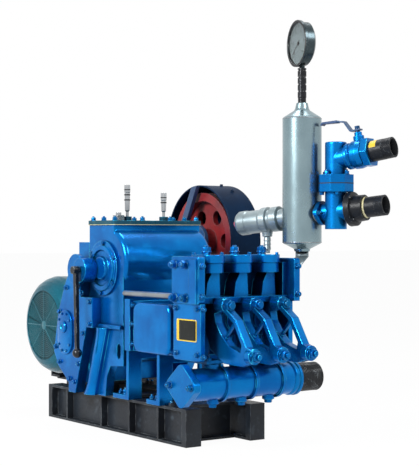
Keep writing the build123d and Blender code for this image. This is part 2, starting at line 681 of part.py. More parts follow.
with BuildPart() as motor_frame:
    rod_y(MOTOR_X, MOTOR_Z, 146, -50, MOTOR_DRIVE_END - 20)
    with BuildSketch(Plane.XZ.offset(36)) as fins:
        with Locations((MOTOR_X, MOTOR_Z)):
            with PolarLocations(155, 32, start_angle=5.6):
                Rectangle(24, 4)
    extrude(fins.sketch, amount=-(MOTOR_DRIVE_END - 20 + 36 - 20))
    rod_y(MOTOR_X, MOTOR_Z, 171, -50, -36)
    rod_y(MOTOR_X, MOTOR_Z, 165, MOTOR_DRIVE_END - 40, MOTOR_DRIVE_END - 18)
    rod_y(MOTOR_X, MOTOR_Z, 70, MOTOR_DRIVE_END - 18, MOTOR_DRIVE_END)
    for x in (MOTOR_X - 140, MOTOR_X + 80):
        block((x, x + 60), (20, 290), (CRADLE_TOP, CRADLE_TOP + 24))
        inner = (x + 10, x + 50)
        block(inner, (30, 70), (CRADLE_TOP + 24, MOTOR_Z - 90))
        block(inner, (240, 280), (CRADLE_TOP + 24, MOTOR_Z - 90))
save(motor_frame.part, "motor_frame")

with BuildPart() as terminal_box:
    block((MOTOR_X - 60, MOTOR_X + 60), (90, 210), (MOTOR_Z + 168, MOTOR_Z + 232))
    fillet(terminal_box.edges().filter_by(Axis.Z), 12)
save(terminal_box.part, "motor_terminal_box")

# -------------------------------------------------------------------- belt drive
GROOVE_DEPTH, GROOVE_TOP, GROOVE_FOOT = 13, 17, 13
MARGIN = (BELT_Y1 - BELT_Y0 - (GROOVES - 1) * GROOVE_PITCH) / 2


def rim(radius):
    """Rim outline with its V-grooves, from the near edge to the far edge."""
    points = [(radius, BELT_Y0)]
    for k in range(GROOVES):
        mid = BELT_Y0 + MARGIN + k * GROOVE_PITCH
        points += [
            (radius, mid - GROOVE_TOP / 2), (radius - GROOVE_DEPTH, mid - GROOVE_FOOT / 2),
            (radius - GROOVE_DEPTH, mid + GROOVE_FOOT / 2), (radius, mid + GROOVE_TOP / 2),
        ]
    return points + [(radius, BELT_Y1)]


INPUT_AXIS = along_y(INPUT_X, INPUT_Z)
with BuildPart() as pulley:
    add(
        turned(
            [(25, BELT_Y0 - 8), (46, BELT_Y0 - 8), (46, BELT_Y0 + 34), (148, BELT_Y0 + 34), (148, BELT_Y0)]
            + rim(PULLEY_R)
            + [(148, BELT_Y1), (148, BELT_Y0 + 56), (46, BELT_Y0 + 56), (46, BELT_Y1), (25, BELT_Y1)],
            INPUT_AXIS,
        )
    )
    with BuildSketch(Plane.XZ.offset(-BELT_Y0 - 60)) as holes:
        with Locations((INPUT_X, INPUT_Z)):
            with PolarLocations(98, 6):
                Circle(27)
    extrude(holes.sketch, amount=30, mode=Mode.SUBTRACT)
    rod_y(INPUT_X, INPUT_Z, 25, 372.5, BELT_Y1)
save(pulley.part, "drive_pulley")

with BuildPart() as motor_pulley:
    add(turned([(24, BELT_Y0)] + rim(MOTOR_PULLEY_R) + [(24, BELT_Y1)], MOTOR_AXIS))
    rod_y(MOTOR_X, MOTOR_Z, 24, MOTOR_DRIVE_END + 0.5, BELT_Y1 + 4)
save(motor_pulley.part, "motor_pulley")


def loop_outline(big, small):
    """Outline round both pulleys: two circles joined by their outer tangents."""
    with BuildSketch(Plane.XZ, mode=Mode.PRIVATE) as outline:
        with Locations((INPUT_X, INPUT_Z)):
            Circle(big)
        with Locations((MOTOR_X, MOTOR_Z)):
            Circle(small)
        make_hull()
    return outline.sketch


with BuildPart() as belts:
    ring = loop_outline(PULLEY_R, MOTOR_PULLEY_R) - loop_outline(PULLEY_R - 9, MOTOR_PULLEY_R - 9)
    for k in range(GROOVES):
        near = BELT_Y0 + MARGIN + k * GROOVE_PITCH - 5.5
        extrude(ring.moved(Location((0, near + 11, 0))), amount=11)
save(belts.part, "drive_belts")

with BuildPart() as guard:
    ring = loop_outline(GUARD_R, MOTOR_PULLEY_R + 28) - loop_outline(
        GUARD_R - GUARD_THICK, MOTOR_PULLEY_R + 28 - GUARD_THICK
    )
    extrude(ring.moved(Location((0, GUARD_Y1, 0))), amount=GUARD_Y1 - GUARD_Y0)
    back = loop_outline(GUARD_R, MOTOR_PULLEY_R + 28)
    extrude(back.moved(Location((0, GUARD_Y1 + 3, 0))), amount=3)
    block((MOTOR_X - 20, MOTOR_X + 20), (GUARD_Y1 - 30, GUARD_Y1 - 24), (0, MOTOR_Z - MOTOR_PULLEY_R - 26))
    block((MOTOR_X - 20, MOTOR_X + 20), (GUARD_Y1 - 80, GUARD_Y1 - 30), (0, 6))
save(guard.part, "belt_guard")

with BuildPart() as guard_strap:
    side_profile(
        [(-296, 822), (-262, 826), (-328, 700), (-262, 640), (-290, 575), (-330, 600), (-366, 690)],
        GUARD_Y0 - 16, GUARD_Y0,
    )
    rod_y(INPUT_X, INPUT_Z, 62, GUARD_Y0 - 16, GUARD_Y0)
    rod_y(INPUT_X, INPUT_Z, 32, GUARD_Y0 - 16, GUARD_Y0, mode=Mode.SUBTRACT)
save(guard_strap.part, "guard_strap")
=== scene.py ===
# Triplex mud pump: finishes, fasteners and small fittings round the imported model
import bmesh
import bpy
import numpy as np
from mathutils import Matrix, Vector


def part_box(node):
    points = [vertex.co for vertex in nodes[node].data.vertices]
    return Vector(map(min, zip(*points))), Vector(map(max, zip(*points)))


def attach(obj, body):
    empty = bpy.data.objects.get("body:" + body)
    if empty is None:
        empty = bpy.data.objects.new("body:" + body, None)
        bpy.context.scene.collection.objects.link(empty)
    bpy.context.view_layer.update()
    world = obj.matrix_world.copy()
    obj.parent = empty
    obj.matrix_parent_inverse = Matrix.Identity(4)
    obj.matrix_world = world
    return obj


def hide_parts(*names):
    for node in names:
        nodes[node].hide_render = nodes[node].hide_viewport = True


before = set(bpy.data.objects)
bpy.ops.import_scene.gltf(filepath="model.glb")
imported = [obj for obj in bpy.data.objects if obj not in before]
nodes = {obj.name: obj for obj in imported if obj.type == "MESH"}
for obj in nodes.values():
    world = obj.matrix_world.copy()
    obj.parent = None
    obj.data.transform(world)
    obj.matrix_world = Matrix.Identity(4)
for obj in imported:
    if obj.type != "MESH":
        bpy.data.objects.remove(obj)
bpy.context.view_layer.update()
print("model loaded,", len(nodes), "nodes")


def edges(node):
    low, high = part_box(node)
    return np.array(low) * 1000, np.array(high) * 1000  # millimetres


def unit(v):
    v = np.array(v, float)
    return v / np.linalg.norm(v)


# camera: level, at the front left corner
cameraSet = {"place": (3.7026, -2.3891, 0.6409), "turn": 54.5, "lens": 101.34, "sensor": 36,
             "shiftX": -0.0039, "shiftY": 0.0064}
cameraData = bpy.data.cameras.new("camera")
camera = bpy.data.objects.new("camera", cameraData)
bpy.context.scene.collection.objects.link(camera)
camera.location = cameraSet["place"]
camera.rotation_euler = (np.pi / 2, 0, np.radians(cameraSet["turn"]))
cameraData.sensor_fit = "VERTICAL"
cameraData.sensor_height = cameraSet["sensor"]
cameraData.lens = cameraSet["lens"]
cameraData.shift_x = cameraSet["shiftX"]
cameraData.shift_y = cameraSet["shiftY"]
bpy.context.scene.camera = camera
print("camera set")


# finishes: one function, one dictionary for each paint or metal, lengths in metres
plainFinish = {"stretch": (1, 1, 1), "patchScale": 9, "grainScale": 260, "castScale": 60, "mottle": 0.25,
               "edge": 0.0025, "edgeWearAndHighlight": 0.5, "edgeWearAndHighlightColour": (0.3, 0.33, 0.36), "paintedShadeReach": 0.03, "paintedShade": 0.5,
               "paintedShadeColour": (0.02, 0.025, 0.03), "roughVary": 0.05, "castHeight": 0.6, "grainHeight": 0.2,
               "relief": 0.25, "reliefDepth": 0.0015, "metal": 0, "specular": 0.5, "coat": 0, "coatRough": 0.1,
               "clear": 0, "ior": 1.5}


def makeFinish(name, own):
    s = {**plainFinish, "light": own["colour"], **own}
    material = bpy.data.materials.new(name)
    material.use_nodes = True
    tree = material.node_tree
    tree.nodes.clear()
    link = tree.links.new

    def node(kind, **values):
        made = tree.nodes.new(kind)
        for key, value in values.items():
            setattr(made, key, value)
        return made

    def number(operation, a, b, clamp=True):
        made = node("ShaderNodeMath", operation=operation, use_clamp=clamp)
        for socket, value in zip(made.inputs, (a, b)):
            if isinstance(value, (int, float)):
                socket.default_value = value
            else:
                link(value, socket)
        return made.outputs[0]

    def noise(scale, detail, stretch=(1, 1, 1)):
        mapping = node("ShaderNodeMapping")
        mapping.inputs["Scale"].default_value = stretch
        link(place.outputs["Object"], mapping.inputs["Vector"])
        made = node("ShaderNodeTexNoise")
        made.inputs["Scale"].default_value = scale
        made.inputs["Detail"].default_value = detail
        link(mapping.outputs["Vector"], made.inputs["Vector"])
        return made.outputs["Fac"]

    def spread(value, low, high, toLow=0.0, toHigh=1.0):
        made = node("ShaderNodeMapRange", interpolation_type="SMOOTHSTEP")
        for key, amount in (("From Min", low), ("From Max", high), ("To Min", toLow), ("To Max", toHigh)):
            made.inputs[key].default_value = amount
        link(value, made.inputs["Value"])
        return made.outputs["Result"]

    def mixed(factor, a, b):
        made = node("ShaderNodeMix", data_type="RGBA")
        link(factor, made.inputs["Factor"])
        for socket, value in ((made.inputs[6], a), (made.inputs[7], b)):
            if isinstance(value, tuple):
                socket.default_value = (*value, 1)
            else:
                link(value, socket)
        return made.outputs[2]

    place = node("ShaderNodeTexCoord")
    shader = node("ShaderNodeBsdfPrincipled")
    output = node("ShaderNodeOutputMaterial")
    link(shader.outputs[0], output.inputs[0])
    patch = noise(s["patchScale"], 5)
    grain = noise(s["grainScale"], 3, s["stretch"])
    cast = noise(s["castScale"], 2, s["stretch"])
    # colour = main to deep by large patches, light flecks, then painted shade in hollows, then edges worn bare and
    # painted as highlights
    colour = mixed(spread(patch, 0.35, 0.7), s["colour"], s["deep"])
    colour = mixed(spread(cast, 0.58, 0.75, 0, s["mottle"]), colour, s["light"])
    geometry = node("ShaderNodeNewGeometry")
    soft = node("ShaderNodeBevel", samples=8)
    soft.inputs["Radius"].default_value = s["edge"]
    dot = node("ShaderNodeVectorMath", operation="DOT_PRODUCT")
    link(soft.outputs[0], dot.inputs[0])
    link(geometry.outputs["Normal"], dot.inputs[1])
    # edge wear and painted edge highlight = how far the rounded normal leans from the face's own, broken up by the
    # cast noise; the edge colour is bare metal on some finishes and a lighter painted highlight on the enamels
    edgeWearAndHighlightMask = number("MULTIPLY", spread(dot.outputs["Value"], 0.98, 0.84), spread(cast, 0.42, 0.62))
    edgeWearAndHighlightMask = number("MULTIPLY", edgeWearAndHighlightMask, s["edgeWearAndHighlight"])
    # painted shade: the occlusion node darkens the colour towards a set colour in hollows, corners and between
    # parts
    paintedShadeReach = node("ShaderNodeAmbientOcclusion", samples=4)
    paintedShadeReach.inputs["Distance"].default_value = s["paintedShadeReach"]
    paintedShade = number("MULTIPLY", spread(paintedShadeReach.outputs["AO"], 0.75, 0.3), s["paintedShade"])
    colour = mixed(paintedShade, colour, s["paintedShadeColour"])
    colour = mixed(edgeWearAndHighlightMask, colour, s["edgeWearAndHighlightColour"])
    link(colour, shader.inputs["Base Color"])
    # roughness = base plus fine grain, rougher where the painted shade lies
    fine = spread(grain, 0.3, 0.7, s["rough"] - s["roughVary"], s["rough"] + s["roughVary"])
    rough = number("ADD", fine, number("MULTIPLY", paintedShade, 0.3))
    link(rough, shader.inputs["Roughness"])
    # relief = fine grain over slow cast waves, on edges rounded by the bevel normal
    waves, specks = number("MULTIPLY", cast, s["castHeight"]), number("MULTIPLY", grain, s["grainHeight"])
    height = number("ADD", waves, specks, False)
    bump = node("ShaderNodeBump")
    bump.inputs["Strength"].default_value = s["relief"]
    bump.inputs["Distance"].default_value = s["reliefDepth"]
    link(height, bump.inputs["Height"])
    link(soft.outputs[0], bump.inputs["Normal"])
    link(bump.outputs[0], shader.inputs["Normal"])
    for socket, key in (("Metallic", "metal"), ("Specular IOR Level", "specular"), ("Coat Weight", "coat"),
                        ("Coat Roughness", "coatRough"), ("Transmission Weight", "clear"), ("IOR", "ior")):
        shader.inputs[socket].default_value = s[key]
    material.diffuse_color = (*s["colour"], 1)
    return material


# enamels: the edge colour is a lighter cyan, a painted edge highlight, and the hollows go dark navy as painted
# shade
enamel = {"colour": (0.0005, 0.18, 0.54), "deep": (0.0004, 0.11, 0.39), "light": (0.002, 0.26, 0.64),
          "metal": 0.78, "specular": 0.1, "rough": 0.3, "roughVary": 0.03, "coat": 0.05, "castScale": 24,
          "grainScale": 190, "relief": 0.16, "reliefDepth": 0.002, "grainHeight": 0.04, "edgeWearAndHighlight": 0.9,
          "edgeWearAndHighlightColour": (0.03, 0.46, 0.72), "edge": 0.0038, "paintedShade": 0.85, "paintedShadeColour": (0.0004, 0.014, 0.05), "paintedShadeReach": 0.08}
paints = {
    "enamelSmooth": {**enamel, "rough": 0.2, "relief": 0.03},
    "enamelCast": {**enamel, "mottle": 0.2, "rough": 0.24, "castScale": 14, "relief": 0.06},
    "enamelRough": {**enamel, "colour": (0.0005, 0.168, 0.5), "rough": 0.24, "castScale": 20,
        "relief": 0.1, "paintedShade": 1.0, "paintedShadeReach": 0.09},
    "enamelPipe": {**enamel, "colour": (0.0005, 0.165, 0.47), "castScale": 16, "relief": 0.05, "paintedShadeReach": 0.04},
    "enamelNut": {**enamel, "colour": (0.0005, 0.11, 0.3), "castScale": 90, "relief": 0.2, "edgeWearAndHighlight": 1.0,
        "edgeWearAndHighlightColour": (0.2, 0.55, 0.7), "edge": 0.0008, "paintedShadeReach": 0.014},
    "coverGrey": {**enamel, "colour": (0.012, 0.075, 0.12), "deep": (0.012, 0.06, 0.08),
        "light": (0.06, 0.12, 0.13), "mottle": 0.5, "metal": 0.3, "castScale": 60},
    "skidBlack": {"colour": (0.014, 0.019, 0.026), "deep": (0.008, 0.01, 0.014), "light": (0.045, 0.06, 0.075),
        "mottle": 0.6, "specular": 0.28, "rough": 0.42, "roughVary": 0.12, "castScale": 34, "relief": 0.45,
        "edgeWearAndHighlight": 0.9, "edgeWearAndHighlightColour": (0.16, 0.18, 0.19), "paintedShadeColour": (0.008, 0.008, 0.009), "paintedShadeReach": 0.05},
    "motorTeal": {"colour": (0.004, 0.1, 0.145), "deep": (0.003, 0.065, 0.095), "light": (0.012, 0.14, 0.185),
        "metal": 0.4, "specular": 0.15, "rough": 0.26, "coat": 0.1, "castScale": 50,
        "relief": 0.2, "edgeWearAndHighlight": 0.3, "edgeWearAndHighlightColour": (0.12, 0.28, 0.3), "paintedShade": 0.7, "paintedShadeColour": (0.003, 0.02, 0.03)},
    "wireTeal": {"colour": (0.012, 0.12, 0.155), "deep": (0.008, 0.085, 0.11), "light": (0.03, 0.16, 0.2),
        "rough": 0.3, "edge": 0.0004, "paintedShade": 0.2, "paintedShadeReach": 0.004},
    "grilleTeal": {"colour": (0.003, 0.04, 0.05), "deep": (0.002, 0.025, 0.033), "light": (0.03, 0.12, 0.14),
        "specular": 0.15, "rough": 0.4, "relief": 0.2, "paintedShade": 0.8, "paintedShadeReach": 0.015},
    "chamberSilver": {"colour": (0.24, 0.33, 0.36), "deep": (0.2, 0.28, 0.31), "light": (0.28, 0.36, 0.39),
        "mottle": 0.1, "metal": 0.9, "rough": 0.26, "roughVary": 0.02, "castScale": 8, "grainScale": 60,
        "stretch": (1, 1, 0.4), "relief": 0.02, "grainHeight": 0.02, "edgeWearAndHighlight": 0, "edgeWearAndHighlightColour": (0.6, 0.64, 0.64),
        "paintedShade": 0.6, "paintedShadeColour": (0.05, 0.08, 0.09)},
    "elbowSilver": {"colour": (0.28, 0.34, 0.36), "deep": (0.18, 0.23, 0.25), "light": (0.42, 0.48, 0.49),
        "mottle": 0.4, "metal": 0.6, "rough": 0.34, "castScale": 70, "relief": 0.3, "edgeWearAndHighlight": 0.3, "paintedShade": 0.7,
        "paintedShadeColour": (0.08, 0.1, 0.11)},
    "weldBead": {"colour": (0.3, 0.33, 0.34), "deep": (0.18, 0.2, 0.22), "light": (0.5, 0.53, 0.54),
        "metal": 0.85, "rough": 0.4, "castScale": 220, "relief": 0.6, "edgeWearAndHighlight": 0.4, "edge": 0.0005},
    "chrome": {"colour": (0.5, 0.52, 0.54), "deep": (0.3, 0.32, 0.34), "mottle": 0.15, "metal": 1,
        "rough": 0.12, "relief": 0.08, "edgeWearAndHighlight": 0, "edge": 0.0006, "paintedShade": 0.6, "paintedShadeReach": 0.008},
    "steelDull": {"colour": (0.34, 0.36, 0.38), "deep": (0.22, 0.24, 0.26), "light": (0.5, 0.52, 0.53),
        "metal": 0.95, "rough": 0.36, "castScale": 160, "relief": 0.3, "edgeWearAndHighlight": 0.4, "edge": 0.0006,
        "paintedShadeReach": 0.01},
    "zinc": {"colour": (0.5, 0.52, 0.5), "deep": (0.38, 0.4, 0.38), "light": (0.62, 0.62, 0.58),
        "metal": 0.95, "rough": 0.3, "castScale": 120, "edgeWearAndHighlight": 0.3, "edge": 0.0006,
        "paintedShadeReach": 0.01},
    "stemDark": {"colour": (0.012, 0.014, 0.018), "deep": (0.008, 0.009, 0.011), "light": (0.05, 0.055, 0.06),
        "mottle": 0.3, "metal": 0.6, "rough": 0.24, "castScale": 120, "relief": 0.3, "edgeWearAndHighlight": 0.8,
        "edgeWearAndHighlightColour": (0.6, 0.62, 0.63), "edge": 0.0012},
    "guardNavy": {"colour": (0.001, 0.013, 0.04), "deep": (0.001, 0.009, 0.028), "light": (0.004, 0.022, 0.055),
        "specular": 0.06, "rough": 0.45, "castScale": 30, "edgeWearAndHighlightColour": (0.1, 0.14, 0.22), "paintedShade": 0.4},
    "strapSteel": {"colour": (0.02, 0.06, 0.14), "deep": (0.015, 0.04, 0.1), "light": (0.05, 0.1, 0.19),
        "rough": 0.35, "castScale": 60, "relief": 0.3, "edgeWearAndHighlight": 0.6, "edgeWearAndHighlightColour": (0.2, 0.25, 0.3)},
    "pulleyRed": {"colour": (0.24, 0.014, 0.016), "deep": (0.1, 0.008, 0.012), "light": (0.4, 0.03, 0.03),
        "rough": 0.42, "castScale": 80, "relief": 0.5, "edgeWearAndHighlightColour": (0.3, 0.3, 0.3), "paintedShade": 0.6},
    "beltRubber": {"colour": (0.018, 0.018, 0.018), "deep": (0.01, 0.01, 0.01), "light": (0.05, 0.05, 0.048),
        "rough": 0.7, "castScale": 200, "relief": 0.4, "edgeWearAndHighlight": 0.3, "edgeWearAndHighlightColour": (0.06, 0.06, 0.055)},
    "ironBlack": {"colour": (0.01, 0.012, 0.016), "deep": (0.005, 0.006, 0.008), "light": (0.04, 0.046, 0.052),
        "mottle": 0.35, "specular": 0.16, "rough": 0.36, "castScale": 130, "relief": 0.45, "edgeWearAndHighlight": 0.8,
        "edgeWearAndHighlightColour": (0.26, 0.28, 0.3), "edge": 0.0012, "paintedShadeReach": 0.01},
    "oilFilm": {"colour": (0.006, 0.008, 0.011), "deep": (0.003, 0.004, 0.006), "light": (0.02, 0.025, 0.03),
        "metal": 0.3, "rough": 0.24, "castScale": 40, "relief": 0.1, "edgeWearAndHighlight": 1.0, "edgeWearAndHighlightColour": (0.4, 0.44, 0.46),
        "edge": 0.0016, "paintedShadeReach": 0.006},
    "handleBlue": {"colour": (0.004, 0.05, 0.14), "deep": (0.003, 0.035, 0.1), "light": (0.02, 0.1, 0.22),
        "specular": 0.25, "rough": 0.3, "castScale": 90, "relief": 0.2, "edgeWearAndHighlight": 0.6, "edge": 0.001},
    "gripBlue": {"colour": (0.003, 0.035, 0.12), "deep": (0.002, 0.025, 0.09), "light": (0.01, 0.07, 0.2),
        "specular": 0.25, "rough": 0.4, "castScale": 220, "relief": 0.3, "edgeWearAndHighlight": 0.2, "edgeWearAndHighlightColour": (0.05, 0.2, 0.5)},
    "knobRed": {"colour": (0.5, 0.03, 0.07), "deep": (0.38, 0.02, 0.05), "light": (0.6, 0.1, 0.14),
        "rough": 0.3, "coat": 0.3, "castScale": 150, "relief": 0.15, "edgeWearAndHighlight": 0.2, "edgeWearAndHighlightColour": (0.7, 0.3, 0.3),
        "edge": 0.001},
    "dialGrey": {"colour": (0.12, 0.175, 0.19), "deep": (0.09, 0.14, 0.155), "light": (0.16, 0.22, 0.24),
        "rough": 0.5, "castScale": 90, "relief": 0.06, "edgeWearAndHighlight": 0, "paintedShade": 0.35, "paintedShadeColour": (0.3, 0.32, 0.32),
        "paintedShadeReach": 0.01},
    "gaugeCase": {"colour": (0.05, 0.07, 0.08), "deep": (0.03, 0.045, 0.05), "light": (0.1, 0.13, 0.14),
        "metal": 0.85, "rough": 0.26, "castScale": 60, "relief": 0.12, "edgeWearAndHighlightColour": (0.6, 0.62, 0.62),
        "edge": 0.0015},
    "bezelBlack": {"colour": (0.008, 0.009, 0.011), "deep": (0.005, 0.006, 0.007), "specular": 0.2,
        "rough": 0.3, "castScale": 90, "relief": 0.1, "edgeWearAndHighlight": 0.4, "edgeWearAndHighlightColour": (0.2, 0.2, 0.2), "edge": 0.0008},
    "inkBlack": {"colour": (0.01, 0.01, 0.011), "deep": (0.007, 0.007, 0.008), "rough": 0.5, "relief": 0.05,
        "edgeWearAndHighlight": 0, "edge": 0.0003, "paintedShade": 0},
    "gaugeGlass": {"colour": (0.97, 0.98, 0.98), "deep": (0.94, 0.96, 0.96), "rough": 0.03, "roughVary": 0.01,
        "clear": 1, "ior": 1.1, "relief": 0.02, "edgeWearAndHighlight": 0, "edge": 0.0003, "paintedShade": 0},
    "plateBlack": {"colour": (0.012, 0.013, 0.012), "deep": (0.008, 0.009, 0.008),
        "light": (0.04, 0.045, 0.035), "mottle": 0.5, "specular": 0.12, "rough": 0.36, "castScale": 160,
        "relief": 0.12, "edgeWearAndHighlight": 0.3, "edgeWearAndHighlightColour": (0.3, 0.3, 0.22), "edge": 0.0006},
    "plateYellow": {"colour": (0.62, 0.42, 0.02), "deep": (0.46, 0.3, 0.015), "light": (0.75, 0.55, 0.08),
        "rough": 0.4, "castScale": 140, "relief": 0.12, "edgeWearAndHighlight": 0.2, "edgeWearAndHighlightColour": (0.5, 0.45, 0.3), "edge": 0.0006},
    "sealTape": {"colour": (0.62, 0.58, 0.36), "deep": (0.48, 0.43, 0.22), "light": (0.75, 0.73, 0.6),
        "rough": 0.6, "castScale": 260, "relief": 0.6, "edgeWearAndHighlight": 0, "paintedShade": 0.4, "paintedShadeReach": 0.01},
}
finishes = {name: makeFinish(name, settings) for name, settings in paints.items()}

nodeFinish = {
    "coverGrey": ["crankcase_top_cover"],
    "enamelSmooth": ["crankcase", "crank_bearing_covers", "guide_covers", "clutch_boss"],
    "enamelCast": ["gearbox_housing", "crankcase_pedestal", "crosshead_housing", "guide_supports", "valve_covers",
                   "valve_block_end_plates", "fluid_end_cheeks", "oil_sump"],
    "enamelRough": ["valve_block", "cylinder_bank", "cylinder_yokes", "suction_manifold"],
    "enamelPipe": ["manifold_end_flange", "suction_coupling", "chamber_port_flange", "tee_lower", "tee_upper",
                   "ball_valve_body"],
    "skidBlack": ["skid_rails", "skid_cross_beams", "motor_floor_rails", "motor_cross_bars"],
    "motorTeal": ["motor_fan_cowl", "motor_frame", "motor_terminal_box"],
    "grilleTeal": ["motor_fan_grille"],
    "chamberSilver": ["air_chamber"],
    "elbowSilver": ["discharge_elbow", "safety_valve"],
    "chrome": ["shift_lever_near", "shift_lever_far", "piston_rods", "oil_filler"],
    "steelDull": ["tie_rods"],
    "stemDark": ["gauge_stem"],
    "oilFilm": ["clutch_lever"],
    "guardNavy": ["belt_guard"],
    "strapSteel": ["guard_strap"],
    "pulleyRed": ["drive_pulley", "motor_pulley"],
    "beltRubber": ["drive_belts"],
    "ironBlack": ["suction_nipple", "outlet_nipple", "relief_flange", "relief_nipple"],
    "handleBlue": ["valve_handle"],
    "gripBlue": ["valve_handle_grip"],
    "knobRed": ["safety_valve_knob"],
    "dialGrey": ["gauge_dial"],
    "gaugeCase": ["gauge_case"],
}
for finishName, names in nodeFinish.items():
    for name in names:
        if not nodes[name].material_slots:
            nodes[name].data.materials.append(None)
        for materialSlot in nodes[name].material_slots:
            materialSlot.material = finishes[finishName]
unpainted = sorted(set(nodes) - {n for names in nodeFinish.values() for n in names})
print(len(finishes), "finishes made, nodes left without one:", unpainted)


# mesh makers, all in millimetres until the mesh is written
def addPiece(name, shape, finish, body="frame", sharp=35):
    points, faces = shape
    mesh = bpy.data.meshes.new(name)
    mesh.from_pydata((points / 1000).tolist(), [], faces.tolist())
    work = bmesh.new()
    work.from_mesh(mesh)
    bmesh.ops.remove_doubles(work, verts=work.verts, dist=2e-6)
    bmesh.ops.recalc_face_normals(work, faces=work.faces)
    work.to_mesh(mesh)
    work.free()
    mesh.polygons.foreach_set("use_smooth", np.ones(len(mesh.polygons), bool))
    mesh.set_sharp_from_angle(angle=np.radians(sharp))
    mesh.materials.append(finishes[finish])
    piece = bpy.data.objects.new(name, mesh)
    bpy.context.scene.collection.objects.link(piece)
    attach(piece, body)
    return piece


def gridFaces(rows, columns, wrapRows=False, wrapColumns=True):
    # one four-sided face between neighbouring rows and columns
    r, c = np.meshgrid(np.arange(rows if wrapRows else rows - 1),
                       np.arange(columns if wrapColumns else columns - 1), indexing="ij")
    nextR, nextC = (r + 1) % rows * columns, (c + 1) % columns
    r = r * columns
    return np.stack([r + c, r + nextC, nextR + nextC, nextR + c], -1).reshape(-1, 4)


def spun(profile, sides=24, flats=0.0, corners=6):
    # each (radius, height) goes round the axis; with flats the radius is at most half the width / cos(angle)
    profile = np.array(profile, float)
    turn = np.arange(sides) * 2 * np.pi / sides
    wrapped = (turn + np.pi / corners) % (2 * np.pi / corners) - np.pi / corners
    limit = flats / 2 / np.cos(wrapped) if flats else np.full(sides, 1e9)
    radius = np.minimum(profile[:, :1], limit[None, :])
    height = np.repeat(profile[:, 1:], sides, 1)
    points = np.stack([radius * np.cos(turn), radius * np.sin(turn), height], -1)
    return points.reshape(-1, 3), gridFaces(len(profile), sides)


def joined(shapes):
    # several shapes in one, the faces of each counted on from the points before it
    starts = np.cumsum([0] + [len(points) for points, _ in shapes[:-1]])
    return (np.concatenate([points for points, _ in shapes]),
            np.concatenate([faces + start for (_, faces), start in zip(shapes, starts)]))


def placed(shape, places, axis, turns=None):
    # a copy at every place: local Z goes along the axis, each copy turned about it
    points, faces = shape
    places = np.array(places, float).reshape(-1, 3)
    z = unit(axis)
    x = unit(np.cross((0, 0, 1) if abs(z[2]) < 0.9 else (0, 1, 0), z))
    y = np.cross(z, x)
    turns = np.zeros(len(places)) if turns is None else np.array(turns, float)
    c, s = np.cos(turns)[:, None], np.sin(turns)[:, None]
    px = points[None, :, 0] * c - points[None, :, 1] * s
    py = points[None, :, 0] * s + points[None, :, 1] * c
    moved = places[:, None] + px[..., None] * x + py[..., None] * y + points[None, :, 2:3] * z
    allFaces = faces[None] + (np.arange(len(places)) * len(points))[:, None, None]
    return moved.reshape(-1, 3), allFaces.reshape(-1, 4)


def tube(path, radius, sides=12, closed=False, ripple=0.0, waves=0):
    # a circle carried along the path, square to it, its radius swelling as 1 + ripple * cos(waves * position)
    path = np.array(path, float)
    ahead = np.roll(path, -1, 0) - np.roll(path, 1, 0)
    if not closed:
        ahead[0], ahead[-1] = path[1] - path[0], path[-1] - path[-2]
    ahead /= np.linalg.norm(ahead, axis=1, keepdims=True)
    side = np.cross(ahead, (0, 0, 1.0))
    weak = np.linalg.norm(side, axis=1) < 0.2
    side[weak] = np.cross(ahead[weak], (1.0, 0, 0))
    side /= np.linalg.norm(side, axis=1, keepdims=True)
    up = np.cross(side, ahead)
    turn = np.arange(sides) * 2 * np.pi / sides
    along = np.arange(len(path)) / len(path) * 2 * np.pi
    r = radius * (1 + ripple * np.cos(waves * along))[:, None, None]
    turn = turn[None, :, None]
    rings = path[:, None] + r * (np.cos(turn) * side[:, None] + np.sin(turn) * up[:, None])
    if not closed:
        rings = np.concatenate([np.repeat(path[:1, None], sides, 1), rings, np.repeat(path[-1:, None], sides, 1)])
    return rings.reshape(-1, 3), gridFaces(len(rings), sides, wrapRows=closed)


def slab(outline, origin, across, normal, thick, crown=0.0, rim=1.5, rings=5):
    # rings of the outline, shrunk from 1 to 0: the wall first, then a rounded rim, then a crowned face
    outline = np.array(outline, float)
    centre = outline.mean(0)
    reach = np.linalg.norm(outline - centre, axis=1).max()
    edge = 1 - rim / reach
    scale = np.concatenate([[0, 1, 1, 1 - 0.3 * rim / reach], np.linspace(edge, 0, rings)])
    dome = thick + crown * (1 - np.linspace(1, 0, rings) ** 2)
    height = np.concatenate([[0, 0, thick - rim, thick - 0.3 * rim], dome])
    flat = centre + (outline - centre)[None] * scale[:, None, None]
    z, x = unit(normal), unit(across)
    y = np.cross(z, x)
    points = np.array(origin, float) + flat[..., :1] * x + flat[..., 1:] * y + height[:, None, None] * z
    return points.reshape(-1, 3), gridFaces(len(scale), len(outline))


def roundedOutline(width, height, corner, steps=6):
    # quarter circles at four corners of a rectangle centred on zero
    quarter = np.linspace(0, np.pi / 2, steps)
    turns = (quarter[None] + np.arange(4)[:, None] * np.pi / 2).ravel()
    signs = np.repeat([[1, 1], [-1, 1], [-1, -1], [1, -1]], steps, 0)
    middle = signs * (np.array([width, height]) / 2 - corner)
    return middle + corner * np.stack([np.cos(turns), np.sin(turns)], -1)


def upright(x, y, z, radius, turns):
    # points on a circle that stands facing Y: x + radius * cos, z + radius * sin
    return np.stack(np.broadcast_arrays(x + radius * np.cos(turns), y, z + radius * np.sin(turns)), -1)


# nuts, screws and stud ends; washer sizes are shares of the width across flats
nutForm = {"washer": 0.11, "washerRadius": 0.66, "turnStep": 0.61, "firstTurn": 0.2, "turnLimit": 1.05,
           "sharp": 28}


